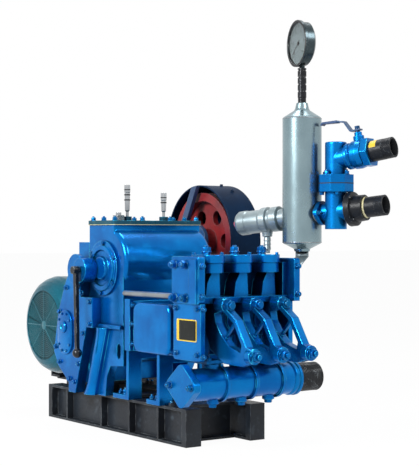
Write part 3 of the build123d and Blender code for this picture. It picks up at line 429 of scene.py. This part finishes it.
def nut(across, high, washer=True):
    # washer disc and a six-sided nut with its corners turned off and a bored top
    base = across * nutForm["washer"] if washer else 0
    top, wide = base + high, across * nutForm["washerRadius"]
    shapes = [spun([(0, base - 0.2), (across * 0.54, base - 0.2), (across * 0.577, base + across * 0.06),
                    (across * 0.577, top - across * 0.09), (across * 0.49, top), (across * 0.30, top),
                    (across * 0.27, top - 1), (0, top - 1)], 36, across)]
    if washer:
        shapes.append(spun([(0, -0.5), (wide, -0.5), (across * 0.68, base * 0.5), (wide, base), (0, base)], 24))
    return joined(shapes)


def studEnd(radius, start, length, ridge=0.6, rise=0.7):
    # the radius steps in and out by the ridge at every rise of height, like thread
    level = np.arange(start - 1.5, start + length, rise)
    profile = [(0, start - 1.5)] + [(radius - ridge * (k % 2), h) for k, h in enumerate(level)]
    return spun(profile + [(radius * 0.8, start + length), (0, start + length)], 20)


def bolted(sets):
    # for each named set: one nut at every place along its way, each turned a little further, and the stud ends
    for name, s in sets.items():
        places = np.array(s["at"], float).reshape(-1, 3)
        turns = (np.arange(len(places)) * nutForm["turnStep"] + nutForm["firstTurn"]) % nutForm["turnLimit"]
        washer, body = s.get("washer", True), s.get("body", "frame")
        addPiece(name, placed(nut(s["across"], s["high"], washer), places, s["way"], turns),
                 s.get("finish", "enamelNut"), body, nutForm["sharp"])
        if "stud" in s:
            top = s["high"] + (s["across"] * nutForm["washer"] if washer else 0)
            addPiece(name + "Studs", placed(studEnd(s["stud"], top, s["studOut"]), places, s["way"], turns),
                     s.get("studFinish", "enamelNut"), body)


front, near, far, up, down = (1, 0, 0), (0, -1, 0), (0, 1, 0), (0, 0, 1), (0, 0, -1)

# fasteners of the fluid end
cylinderY = [-105, 0, 105]
plateNut = {"across": 21, "high": 14, "stud": 6.5, "studOut": 6, "slot": "valve_block_end_plates"}
bolted({
    "plateNutsNear": {**plateNut, "at": [(x, -187, z) for x in (428, 484) for z in (456, 556)], "way": near},
    "plateNutsFar": {**plateNut, "at": [(x, 187, z) for x in (428, 484) for z in (456, 556)], "way": far},
    "plateFrontNuts": {"at": [(562, 177, z) for z in (462, 548)] + [(552, -177, z) for z in (462, 552)],
        "way": front, "across": 15, "high": 10, "stud": 4.5, "studOut": 4, "slot": "valve_block_end_plates"},
    "valveCoverNuts": {"at": [(475, y, 592) for y in cylinderY], "way": up, "across": 24, "high": 13, "stud": 7,
        "studOut": 5, "slot": "valve_covers"},
    "valveCoverScrews": {"at": [(x, y + side, 584) for y in cylinderY for x in (446, 517) for side in (27, -27)],
        "way": up, "across": 9, "high": 6, "slot": "valve_covers"},
    "yokeUpperNuts": {"at": [(582, y, 436) for y in cylinderY], "way": front, "across": 30, "high": 17,
        "stud": 9, "studOut": 7, "slot": "cylinder_yokes"},
    "yokeLowerNuts": {"at": [(716, y, 294) for y in cylinderY], "way": front, "across": 26, "high": 14,
        "slot": "cylinder_yokes"},
    "cheekNuts": {"at": [(553, -173, z) for z in (284, 424)], "way": front, "across": 13, "high": 9, "stud": 4,
        "studOut": 3, "slot": "fluid_end_cheeks"},
    "cheekSideScrews": {"at": [(x, -181, z) for z in (424, 290) for x in (426, 537)], "way": near, "across": 12,
        "high": 8, "slot": "fluid_end_cheeks"},
    "flangeNuts": {"at": [(508 + x, -222, 198) for x in (-54, 54)], "way": near, "across": 17, "high": 11,
        "stud": 5, "studOut": 5, "slot": "manifold_end_flange"},
    "manifoldPlugs": {"at": [(508, y, 139) for y in cylinderY], "way": down, "across": 22, "high": 9,
        "slot": "suction_manifold"},
    "manifoldFeetNuts": {"at": [(524, y + side, 270) for y in cylinderY for side in (-24, 24)], "way": up,
        "across": 12, "high": 8, "stud": 3.5, "studOut": 3, "slot": "cylinder_bank"},
})
print("fluid end fasteners made")

# fasteners of the power end
panelY = edges("gearbox_housing")[0][1]
panelSpots = [(-148, 545), (-206, 466), (-250, 384), (-276, 262), (-252, 212), (-182, 160), (-148, 152),
              (-122, 214), (-90, 318), (-48, 352), (-48, 424), (-100, 452), (-126, 470)]
bearingTurns = np.radians(np.arange(6) * 60 + 25)
bearingScrew = {"across": 11, "high": 7, "washer": False, "slot": "crank_bearing_covers"}
coverEdge = [(x, y, 692) for x in (-100, -32, 38) for y in (-161, 161)]
bolted({
    "panelScrews": {"at": [(x, panelY, z) for x, z in panelSpots], "way": near, "across": 13, "high": 8,
        "slot": "gearbox_housing"},
    "bearingCoverScrews": {**bearingScrew, "at": upright(-14, -178, 536, 83, bearingTurns), "way": near},
    "bearingCoverScrewsFar": {**bearingScrew, "at": upright(-14, 178, 536, 83, bearingTurns), "way": far},
    "topCoverNuts": {"at": coverEdge + [(-100, 0, 692), (38, -55, 692), (38, 55, 692)], "way": up, "across": 14,
        "high": 9, "stud": 4, "studOut": 4, "slot": "crankcase_top_cover"},
    "guideFlangeNuts": {"at": [(150, side * 167, z) for side in (-1, 1) for z in (298, 360, 420)], "way": front,
        "across": 13, "high": 9, "stud": 4, "studOut": 5, "slot": "crosshead_housing"},
    "supportFootNuts": {"at": [(x, y, 129) for x in (70, 262) for y in (-140, 140)], "way": up, "across": 16,
        "high": 11, "stud": 5, "studOut": 7, "slot": "guide_supports"},
    "skidNuts": {"at": [(x, y, 115) for x in (-232, -205, 338) for y in (-139, 139)], "way": up, "across": 16,
        "high": 10, "stud": 5, "studOut": 6, "slot": "skid_rails", "finish": "skidBlack"},
})
# dark bands round the shift posts, from the top down
posts = {"near": (-20, -78, 811, "shift_lever_near"), "far": (-20, 67, 787, "shift_lever_far")}
postBand = {"first": 14, "apart": 17, "high": 4, "lowest": 735, "inner": 9.6, "outer": 10.5}
for label, (x, y, top, body) in posts.items():
    count = int((top - postBand["lowest"]) / 20)
    tops = top - postBand["first"] - postBand["apart"] * np.arange(count)
    inner, outer = postBand["inner"], postBand["outer"]
    bandShapes = [spun([(inner, z - postBand["high"]), (outer, z - postBand["high"] + 0.8), (outer, z - 0.8),
                        (inner, z)], 32) for z in tops]
    addPiece("postBands" + label.title(), placed(joined(bandShapes), [(x, y, 0)], up), "bezelBlack", body)
# gasket line under the top cover
gasket = {"length": 171, "width": 354, "corner": 13, "middle": (-31.5, 0, 677.2), "thick": 1.7}
addPiece("coverGasket", slab(roundedOutline(gasket["length"], gasket["width"], gasket["corner"], 8),
                             gasket["middle"], front, up, gasket["thick"], rim=0.4), "sealTape")
print("power end fasteners made")

# fasteners of the delivery side, set along the two branch pipes
aimTurn = np.radians(21.7)


def aimed(tilt):
    # a way of length 1 in the branch pipes' upright plane, raised by the tilt in degrees
    rise = np.radians(tilt)
    return np.array([np.cos(rise) * np.cos(aimTurn), np.cos(rise) * np.sin(aimTurn), np.sin(rise)])


chamberFoot = np.array([484.0, 260, 705])
portWay, valveWay = aimed(6), aimed(9)
levelWay = unit(np.cross(up, portWay))
upPort = np.cross(portWay, levelWay)
teeFoot = chamberFoot + portWay * 121
valveFoot = np.array([teeFoot[0], teeFoot[1], 880])
bolted({
    "portFlangeNuts": {"at": [chamberFoot + portWay * 79 + levelWay * w for w in (-40, 40)], "way": portWay,
        "across": 12, "high": 7, "stud": 3.5, "studOut": 4, "slot": "chamber_port_flange"},
    "portFlangeHeads": {"at": [chamberFoot + portWay * 66 + levelWay * w for w in (-42, 42)], "way": -portWay,
        "across": 9, "high": 3, "washer": False, "slot": "chamber_port_flange"},
})
teeGasket = {"across": 107.0, "corner": 70, "low": 803.6, "high": 806.4, "turn": 9.5}
addPiece("teeGasket", placed(spun([(0, teeGasket["low"]), (teeGasket["corner"], teeGasket["low"]),
                                   (teeGasket["corner"], teeGasket["high"]), (0, teeGasket["high"])], 48,
                                  teeGasket["across"], 8), [(teeFoot[0], teeFoot[1], 0)], up,
                             [np.radians(teeGasket["turn"])]), "inkBlack")
corners = np.radians(np.arange(8) * 45 + teeGasket["turn"])
teeRing = np.stack([teeFoot[0] + 43.5 * np.cos(corners), teeFoot[1] + 43.5 * np.sin(corners), 0 * corners], -1)
quarters = np.radians(np.arange(4) * 90 + 45)[:, None]
reliefRing = 47.5 * (np.cos(quarters) * levelWay + np.sin(quarters) * upPort)
bolted({
    "teeNutsTop": {"at": teeRing[::2] + (0, 0, 832), "way": up, "across": 13, "high": 9, "stud": 4,
        "studOut": 5, "slot": "tee_upper"},
    "teeNutsBottom": {"at": teeRing[1::2] + (0, 0, 778), "way": down, "across": 13, "high": 8,
        "slot": "tee_lower"},
    "reliefFlangeNuts": {"at": teeFoot + portWay * 68 + reliefRing, "way": portWay, "across": 9, "high": 6,
        "washer": False, "stud": 2.6, "studOut": 3, "slot": "relief_flange", "finish": "ironBlack",
        "studFinish": "ironBlack"},
})
print("delivery fasteners made")


# threaded pipe ends: radius = crest - depth * triangle wave of (height / pitch - angle / turn)
def threadedPipe(s, sides=48, chamfer=1.5, rowsPerRidge=6):
    length, inner = s["length"], s["inner"]
    height = np.linspace(0, length, int(length / s["pitch"] * rowsPerRidge))
    turn = np.arange(sides) * 2 * np.pi / sides
    phase = (height[:, None] / s["pitch"] - turn[None] / (2 * np.pi)) % 1
    threaded = (height > s["plain"]) & (height < length - chamfer)
    outer = s["crest"] - s["depth"] * np.abs(2 * phase - 1) * threaded[:, None]
    outer[-1] = s["crest"] - s["depth"]
    bore = np.full((4, sides), float(inner))
    bore[1] += chamfer
    radius = np.concatenate([bore[:1], outer, bore[1:]])
    level = np.concatenate([[0], height, [length, length - chamfer, 0]])
    points = np.stack([radius * np.cos(turn), radius * np.sin(turn), level[:, None] + 0 * radius], -1)
    return placed((points.reshape(-1, 3), gridFaces(len(level), sides, wrapRows=True)), [s["start"]], s["way"])


pipes = {
    "suctionThread": {"start": (508, 206, 198), "way": far, "inner": 38, "crest": 45, "length": 86, "pitch": 6.0,
                      "depth": 2.4, "plain": 4, "node": "suction_nipple", "finish": "oilFilm"},
    "outletThread": {"start": valveFoot + valveWay * 126, "way": valveWay, "inner": 26, "crest": 32, "length": 74,
                     "pitch": 4.2, "depth": 1.2, "plain": 44, "node": "outlet_nipple", "finish": "ironBlack"},
    "reliefThread": {"start": teeFoot + portWay * 104, "way": portWay, "inner": 26, "crest": 32, "length": 68,
                     "pitch": 4.2, "depth": 1.2, "plain": 40, "node": "relief_nipple", "finish": "ironBlack"},
}
for name, s in pipes.items():
    piece = addPiece(name, threadedPipe(s), s["finish"], sharp=50)
    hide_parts(s["node"])
print("threads cut")


# tape and bare sticker on the pipe ends: a band whose edge wanders by two small sines of the angle
def band(start, way, low, high, first=0.0, last=2 * np.pi, wander=0.0, thick=0.7, radius=32, sunk=0.4, cells=48):
    turn = np.linspace(first, last, cells)
    wave = wander * (np.sin(turn * 5) + 0.6 * np.sin(turn * 11 + 1))
    level = np.stack([low + 0 * wave, low + 0 * wave, high + wave, high + wave])
    r = np.array([radius - sunk, radius + thick, radius + thick, radius - sunk])[:, None] + 0 * turn
    points = np.stack([r * np.cos(turn), r * np.sin(turn), level], -1)
    faces = gridFaces(4, cells, wrapRows=True, wrapColumns=False)
    ends = np.array([[0, cells, 2 * cells, 3 * cells], [cells - 1, 2 * cells - 1, 3 * cells - 1, 4 * cells - 1]])
    full = abs(last - first - 2 * np.pi) < 1e-6
    return placed((points.reshape(-1, 3), faces if full else np.concatenate([faces, ends])), [start], way)


bands = {"tapeLow": 104.2, "tapeHigh": 111, "tapeWander": 0.5,
         "stickerLow": 130, "stickerHigh": 152, "stickerFrom": 1.75, "stickerTo": 2.85, "stickerThick": 0.4}
addPiece("sealingTape", band(teeFoot, portWay, bands["tapeLow"], bands["tapeHigh"], wander=bands["tapeWander"]),
         "sealTape")
addPiece("bareSticker", band(valveFoot, valveWay, bands["stickerLow"], bands["stickerHigh"], bands["stickerFrom"],
                             bands["stickerTo"], thick=bands["stickerThick"]), "plateYellow")

# air chamber welds: a rippled bead round each shoulder and where the branches meet the wall
beadTurn = np.arange(120) * 2 * np.pi / 120
beads = {"radius": 61.6, "heights": (621, 1012), "sunk": 0.8, "thick": 1.7, "ripple": 0.1, "waves": 40}
for k, z in enumerate(beads["heights"]):
    reach = beads["radius"] - beads["sunk"]
    path = np.stack([chamberFoot[0] + reach * np.cos(beadTurn), chamberFoot[1] + reach * np.sin(beadTurn),
                     z + 0 * beadTurn], -1)
    bead = tube(path, beads["thick"], 10, True, beads["ripple"], beads["waves"])
    addPiece(f"shoulderWeld{k}", bead, "weldBead", sharp=180)


def wallBead(radius, way):
    # ring round a branch: each point slides along it until it is the chamber's radius from the chamber's axis
    level = unit(np.cross(up, way))
    over = np.cross(way, level)
    offset, lift = radius * np.cos(beadTurn), radius * np.sin(beadTurn)
    reach = np.sqrt(beads["radius"] ** 2 - offset ** 2)
    slide = (reach - lift * np.hypot(over[0], over[1]) * np.sign(-way[2])) / np.hypot(way[0], way[1])
    return chamberFoot + slide[:, None] * way + offset[:, None] * level + lift[:, None] * over


branchBeads = {
    "portWeld": {"radius": 27.5, "way": portWay, "waves": 22, "slot": "air_chamber"},
    "valveWeld": {"radius": 30.5, "way": -portWay, "waves": 24, "slot": "safety_valve"},
}
for name, s in branchBeads.items():
    bead = tube(wallBead(s["radius"], s["way"]), 2.8, 10, True, 0.12, s["waves"])
    addPiece(name, bead, "weldBead", sharp=180)
print("welds laid")

# pressure gauge: ring, scale, figures, needle and glass
gauge = {"centre": (484.0, 260.0, 1250.0), "turn": 15.0, "sweep": 270.0, "major": 10, "minor": 50,
         "figureSize": 13, "figureRadius": 41, "face": 12.1, "needleAt": -128}
gaugeTurn = np.radians(gauge["turn"])
gaugeX = np.array([np.cos(gaugeTurn), -np.sin(gaugeTurn), 0])
gaugeOut = np.array([-np.sin(gaugeTurn), -np.cos(gaugeTurn), 0])
gaugeMid = np.array(gauge["centre"])


def onDial(points):
    # dial coordinates: to the right, up, and outwards
    return gaugeMid + points[..., :1] * gaugeX + points[..., 1:2] * np.array(up) + points[..., 2:3] * gaugeOut


def bars(angles, inner, outer, width, low, high):
    # one thin box from the inner to the outer radius at each angle
    a = np.array(angles)[:, None]
    r = np.array([inner, outer, outer, inner] * 2)[None]
    w = np.array([-1, -1, 1, 1] * 2)[None] * width / 2
    h = np.array([low] * 4 + [high] * 4)[None] + 0 * a
    points = np.stack([r * np.sin(a) + w * np.cos(a), r * np.cos(a) - w * np.sin(a), h], -1)
    box = np.array([[0, 1, 2, 3], [4, 5, 6, 7], [0, 1, 5, 4], [1, 2, 6, 5], [2, 3, 7, 6], [3, 0, 4, 7]])
    faces = box[None] + (np.arange(len(angles)) * 8)[:, None, None]
    return onDial(points).reshape(-1, 3), faces.reshape(-1, 4)


sweep = np.radians(gauge["sweep"])
majorAngles = np.linspace(-sweep / 2, sweep / 2, gauge["major"] + 1)
minorAngles = np.linspace(-sweep / 2, sweep / 2, gauge["minor"] + 1)
marks = [bars(majorAngles, 50, 60, 1.6, 11.9, 12.35), bars(minorAngles, 55, 60, 0.7, 11.9, 12.3)]
addPiece("gaugeScale", joined(marks), "inkBlack")
needle = bars([np.radians(gauge["needleAt"])], -14, 50, 2.6, 14.0, 14.9)
hub = spun([(0, 12), (5.5, 12), (5.5, 14.8), (4, 16), (0, 16)], 24)
addPiece("gaugeNeedle", joined([needle, placed(hub, [gaugeMid], gaugeOut)]), "inkBlack")
for k, angle in enumerate(majorAngles[::2]):  # plain numbers 0 to 10 at every second long mark
    words = bpy.data.curves.new("figure", "FONT")
    words.body = str(k * 2)
    words.size, words.extrude, words.align_x, words.align_y = gauge["figureSize"], 0.15, "CENTER", "CENTER"
    holder = bpy.data.objects.new("figure", words)
    flat = bpy.data.meshes.new_from_object(holder)
    points = np.zeros(len(flat.vertices) * 3)
    flat.vertices.foreach_get("co", points)
    middle = (gauge["figureRadius"] * np.sin(angle), gauge["figureRadius"] * np.cos(angle), gauge["face"])
    flat.vertices.foreach_set("co", (onDial(points.reshape(-1, 3) + middle) / 1000).ravel())
    bpy.data.objects.remove(holder)
    flat.materials.append(finishes["inkBlack"])
    piece = bpy.data.objects.new(f"gaugeFigure{k}", flat)
    bpy.context.scene.collection.objects.link(piece)
    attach(piece, "frame")
ringProfile = [(65.6, 12.2), (65.6, 19), (67, 20.6), (72.6, 20.6), (73.9, 19), (73.9, 14), (73.7, 13.6),
               (73.7, 12.2), (65.6, 12.2)]
addPiece("gaugeRing", placed(spun(ringProfile, 72), [gaugeMid], gaugeOut), "bezelBlack")
glassProfile = [(0, 17.2), (65.4, 17.2), (65.4, 18.2), (40, 18.8), (0, 19.2)]
addPiece("gaugeGlass", placed(spun(glassProfile, 64), [gaugeMid], gaugeOut), "gaugeGlass")
print("gauge dressed")

# label plate on the near cheek, left bare: a yellow border with a dark field let in
plate = {"middle": (480.5, -181.0, 360.0), "width": 105, "height": 66, "corner": 4, "thick": 1.0,
         "fieldWidth": 87, "fieldHeight": 59, "fieldShift": 5, "rivetX": 49.5, "rivetZ": 30}
plateMid = np.array(plate["middle"])
borderOutline = roundedOutline(plate["width"], plate["height"], plate["corner"])
addPiece("labelBorder", slab(borderOutline, plateMid, front, near, plate["thick"], rim=0.4), "plateYellow")
fieldOutline = roundedOutline(plate["fieldWidth"], plate["fieldHeight"], 1.5)
addPiece("labelFields", slab(fieldOutline, plateMid + (plate["fieldShift"], -0.8, 0), front, near, 0.7, rim=0.3),
         "plateBlack")
rivet = spun([(0, 0), (2.2, 0), (2.0, 0.9), (1.2, 1.5), (0, 1.7)], 16)
rivetSpots = [plateMid + (x, -0.9, z) for x in (-plate["rivetX"], plate["rivetX"])
              for z in (-plate["rivetZ"], plate["rivetZ"])]
addPiece("labelRivets", placed(rivet, rivetSpots, near), "zinc")

# oval inspection cover on the gearbox side, with a boss and eight screws
oval = {"x": -207.5, "z": 315.0, "width": 96, "height": 150, "corner": 47.5, "thick": 7, "crown": 4,
        "screwRing": 38, "screwRise": 27, "bossUp": 18}
ovalMid = np.array([oval["x"], panelY, oval["z"]])
ovalOutline = roundedOutline(oval["width"], oval["height"], oval["corner"], 14)
addPiece("ovalCover", slab(ovalOutline, ovalMid, front, near, oval["thick"], oval["crown"], 2.5, 8), "enamelSmooth")
boss = spun([(0, 0), (20, 0), (20, 7), (17, 10), (9, 10), (9, 7), (0, 7)], 36)
addPiece("ovalBoss", placed(boss, [ovalMid + (0, -7, oval["bossUp"])], near), "enamelSmooth")
step = np.radians(np.arange(8) * 45 + 22.5)
ovalSpots = upright(ovalMid[0], panelY - oval["thick"], ovalMid[2], oval["screwRing"], step)
ovalSpots[:, 2] += oval["screwRise"] * np.sign(np.sin(step))
bolted({"ovalCoverScrews": {"at": ovalSpots, "way": near, "across": 8, "high": 5, "washer": False,
        "slot": "gearbox_housing"}})

# raked round legs: an ellipse carried in a straight line from ledge to skid, wider at the foot and the top
legs = {"top": (-6, 340), "foot": (-84, 115), "y": 181, "halfWidth": 24, "bulge": 15, "flare": 8, "sides": 28}
for side, label in ((-1, "Near"), (1, "Far")):
    t = np.linspace(0, 1, 14)[:, None]
    turn = (np.arange(legs["sides"]) * 2 * np.pi / legs["sides"])[None]
    footFlare, topFlare = np.clip((t - 0.8) / 0.2, 0, 1) ** 2, 0.7 * np.clip((0.12 - t) / 0.12, 0, 1)
    flare = legs["flare"] * (footFlare + topFlare)
    x = legs["top"][0] + (legs["foot"][0] - legs["top"][0]) * t + (legs["halfWidth"] + flare) * np.cos(turn)
    y = side * (legs["y"] + (legs["bulge"] + flare * 0.6) * np.sin(turn))
    z = legs["top"][1] + (legs["foot"][1] - legs["top"][1]) * t + 0 * turn
    rings = np.stack([x, y, z], -1)
    caps = [np.repeat(rings[k].mean(0)[None, None], legs["sides"], 1) for k in (0, -1)]
    rings = np.concatenate([caps[0], rings, caps[1]])
    addPiece("legColumn" + label, (rings.reshape(-1, 3), gridFaces(len(rings), legs["sides"])), "enamelCast")

# foot blocks on the near rail, each with a nut
footBlock = {"x": (-223, 51, 237), "y": -146, "low": 115, "high": 14, "length": 34, "width": 24}
blockOutline = roundedOutline(footBlock["length"], footBlock["width"], 3)
blocks = [slab(blockOutline, (x, footBlock["y"], footBlock["low"]), front, up, footBlock["high"], rim=2)
          for x in footBlock["x"]]
addPiece("footBlocks", joined(blocks), "enamelRough")
blockTop = footBlock["low"] + footBlock["high"]
bolted({"footBlockNuts": {"at": [(x, footBlock["y"], blockTop) for x in footBlock["x"]], "way": up, "across": 13,
        "high": 8, "stud": 4, "studOut": 6, "slot": "skid_rails"}})
print("plates, cover and legs made")

# motor: guard rings and spokes on the grille, cowl screws and ribs, lifting eye, lid screws
motorLow, motorHigh = edges("motor_fan_cowl")
motorX, motorZ = (motorLow[0] + motorHigh[0]) / 2, (motorLow[2] + motorHigh[2]) / 2
fan = {"y": motorLow[1], "rings": np.arange(16, 120, 7.0), "wire": 1.3, "spokes": 8, "spokeWire": 1.6,
       "spokeFrom": 10, "spokeTo": 121}
circle = np.arange(72) * 2 * np.pi / 72
fanShapes = [tube(upright(motorX, fan["y"] + 3.0, motorZ, r, circle), fan["wire"], 8, True) for r in fan["rings"]]
fanShapes += [tube(upright(motorX, fan["y"] + 2.5, motorZ, np.array([fan["spokeFrom"], fan["spokeTo"]]), a),
        fan["spokeWire"], 8) for a in np.arange(fan["spokes"]) * 2 * np.pi / fan["spokes"]]
fanHub = spun([(0, 0), (16, 0), (16, 2.5), (12, 4), (0, 4)], 32)
fanShapes.append(placed(fanHub, [(motorX, fan["y"] + 5, motorZ)], near))
addPiece("fanGuard", joined(fanShapes), "wireTeal")
cowl = {"screwY": -58, "screwRadius": 175, "ribRadius": 172.8, "ribAlong": [-79.0, -77, -68, -66],
        "ribThick": 2.0, "ribStep": 7.5}
cowlScrew = spun([(0, 0), (5, 0), (5, 2), (3.5, 3.4), (0, 3.6)], 16)
addPiece("cowlScrews", joined([placed(cowlScrew, upright(motorX, cowl["screwY"], motorZ, cowl["screwRadius"], a),
        (np.cos(a), 0, np.sin(a))) for a in np.radians(np.arange(4) * 90 + 45)]),
        "zinc")
ribAlong = np.array(cowl["ribAlong"])
addPiece("cowlRibs", joined([tube(upright(motorX, ribAlong, motorZ, cowl["ribRadius"], a), cowl["ribThick"], 6)
        for a in np.radians(np.arange(0, 360, cowl["ribStep"]))]),
        "motorTeal")
eye = {"y": -10, "up": 183, "radius": 14, "thick": 4.5, "foot": 164}
eyeFoot = spun([(0, 0), (11, 0), (11, 4), (7, 7), (0, 8)], 24)
addPiece("liftingEye", joined([tube(upright(motorX, eye["y"], motorZ + eye["up"], eye["radius"], circle),
        eye["thick"], 12, True),
        placed(eyeFoot, [(motorX, eye["y"], motorZ + eye["foot"])], up)]),
        "motorTeal")
lidLow, lidHigh = edges("motor_terminal_box")
lidX, lidY = (lidLow[0] + 12, lidHigh[0] - 12), (lidLow[1] + 12, lidHigh[1] - 12)
bolted({"lidScrews": {"at": [(x, y, lidHigh[2]) for x in lidX for y in lidY], "way": up, "across": 7, "high": 4,
        "washer": False, "slot": "motor_terminal_box", "finish": "zinc"}})
print("motor dressed")


# belt guard lip: the outline is two circles and the straight lines that touch both
def loopPath(bigX, bigZ, big, smallX, smallZ, small, steps=60):
    apart = np.array([smallX - bigX, smallZ - bigZ], float)
    base = np.arctan2(apart[1], apart[0])
    lean = np.arccos((big - small) / np.linalg.norm(apart))
    wide = np.linspace(base + lean, base + 2 * np.pi - lean, steps)
    tight = np.linspace(base - lean, base + lean, steps // 2)
    return np.concatenate([np.stack([bigX + big * np.cos(wide), bigZ + big * np.sin(wide)], -1),
        np.stack([smallX + small * np.cos(tight), smallZ + small * np.sin(tight)], -1)])


guardLow, guardHigh = edges("belt_guard")
guard = {"bigX": -270, "bigZ": 622, "bigR": 204, "smallR": 108, "lip": 3.4, "screwRadius": 205.5, "screwY": 470,
        "screwsAt": (62, 82, 118, 160)}
for label, y in (("Front", guardLow[1] + 1.5), ("Back", guardHigh[1] - 4)):
    flat = loopPath(guard["bigX"], guard["bigZ"], guard["bigR"] - 1, motorX, motorZ, guard["smallR"] - 1)
    path = np.stack([flat[:, 0], np.full(len(flat), y), flat[:, 1]], -1)
    addPiece("guardLip" + label, tube(path, guard["lip"], 10, True), "guardNavy")
guardScrews = [placed(nut(11, 6), upright(guard["bigX"], guard["screwY"], guard["bigZ"], guard["screwRadius"], a),
        (np.cos(a), 0, np.sin(a))) for a in np.radians(guard["screwsAt"])]
addPiece("guardScrews", joined(guardScrews), "guardNavy")
hubTurns = np.radians(np.arange(6) * 60 + 30)
bolted({"pulleyScrews": {"at": upright(guard["bigX"], 394, guard["bigZ"], 36, hubTurns), "way": near, "across": 8,
        "high": 4, "washer": False, "slot": "drive_pulley", "finish": "steelDull",
        "body": "drive_pulley"}})
print("guard dressed")


# floor, world and lamps: what the camera sees of floor and world is pale, and the light they give is soft
def seenShare(tree, kinds):
    # 1 where the ray is any of the named kinds, otherwise 0
    rays = tree.nodes.new("ShaderNodeLightPath")
    share = rays.outputs[kinds[0]]
    for kind in kinds[1:]:
        larger = tree.nodes.new("ShaderNodeMath")
        larger.operation = "MAXIMUM"
        tree.links.new(share, larger.inputs[0])
        tree.links.new(rays.outputs[kind], larger.inputs[1])
        share = larger.outputs[0]
    return share


def blended(tree, share, lit, seen, outputKind):
    # the lit shader for plain light, the seen one where the share is 1
    blend = tree.nodes.new("ShaderNodeMixShader")
    output = tree.nodes.new(outputKind)
    for value, socket in ((share, blend.inputs[0]), (lit.outputs[0], blend.inputs[1]),
        (seen.outputs[0], blend.inputs[2]), (blend.outputs[0], output.inputs[0])):
        tree.links.new(value, socket)


floorSet = {"half": 40.0, "drop": 0.0005, "colour": (0.86, 0.87, 0.88), "paleness": 0.97}
floorMesh = bpy.data.meshes.new("floor")
corners = floorSet["half"] * np.array([(-1, -1), (1, -1), (1, 1), (-1, 1)])
floorMesh.from_pydata([(x, y, -floorSet["drop"]) for x, y in corners.tolist()], [], [(0, 1, 2, 3)])
floor = bpy.data.objects.new("floor", floorMesh)
bpy.context.scene.collection.objects.link(floor)
floorMaterial = bpy.data.materials.new("paleFloor")
floorMaterial.use_nodes = True
tree = floorMaterial.node_tree
tree.nodes.clear()
diffuse = tree.nodes.new("ShaderNodeBsdfDiffuse")
diffuse.inputs[0].default_value = (*floorSet["colour"], 1)
glow = tree.nodes.new("ShaderNodeEmission")
share = tree.nodes.new("ShaderNodeMath")
share.operation = "MULTIPLY"
share.inputs[1].default_value = floorSet["paleness"]
tree.links.new(seenShare(tree, ["Is Camera Ray", "Is Glossy Ray"]), share.inputs[0])
blended(tree, share.outputs[0], diffuse, glow, "ShaderNodeOutputMaterial")
floorMesh.materials.append(floorMaterial)

worldSet = {"ambient": (0.9, 0.95, 1, 1), "ambientPower": 0.24, "white": (1, 1, 1, 1), "whitePower": 1}
world = bpy.data.worlds.new("studio")
bpy.context.scene.world = world
world.use_nodes = True
tree = world.node_tree
tree.nodes.clear()
ambient, white = (tree.nodes.new("ShaderNodeBackground") for _ in range(2))
for made, label in ((ambient, "ambient"), (white, "white")):
    made.inputs[0].default_value = worldSet[label]
    made.inputs[1].default_value = worldSet[label + "Power"]
share = seenShare(tree, ["Is Camera Ray", "Is Glossy Ray", "Is Transmission Ray"])
blended(tree, share, ambient, white, "ShaderNodeOutputWorld")

lamps = {
    "keyLamp": {"place": (3.0, 1.0, 3.0), "aim": (0.2, 0, 0.5), "size": 1.2, "power": 70},
    "sideLamp": {"place": (0.6, -3.6, 2.3), "aim": (0, 0, 0.4), "size": 1.3, "power": 215},
    "topLamp": {"place": (-0.4, 0.6, 3.6), "aim": (0, 0, 0.5), "size": 1.4, "power": 58},
}
for name, s in lamps.items():
    lampData = bpy.data.lights.new(name, "AREA")
    lampData.shape, lampData.size, lampData.energy = "SQUARE", s["size"], s["power"]
    lamp = bpy.data.objects.new(name, lampData)
    bpy.context.scene.collection.objects.link(lamp)
    away = unit(np.array(s["place"]) - np.array(s["aim"]))
    across = unit(np.cross((0, 0, 1), away))
    basis = np.eye(4)
    basis[:3] = np.stack([across, np.cross(away, across), away, s["place"]], -1)
    lamp.matrix_world = Matrix(basis.tolist())
bpy.context.scene.view_settings.view_transform = "Standard"
print("lights set")
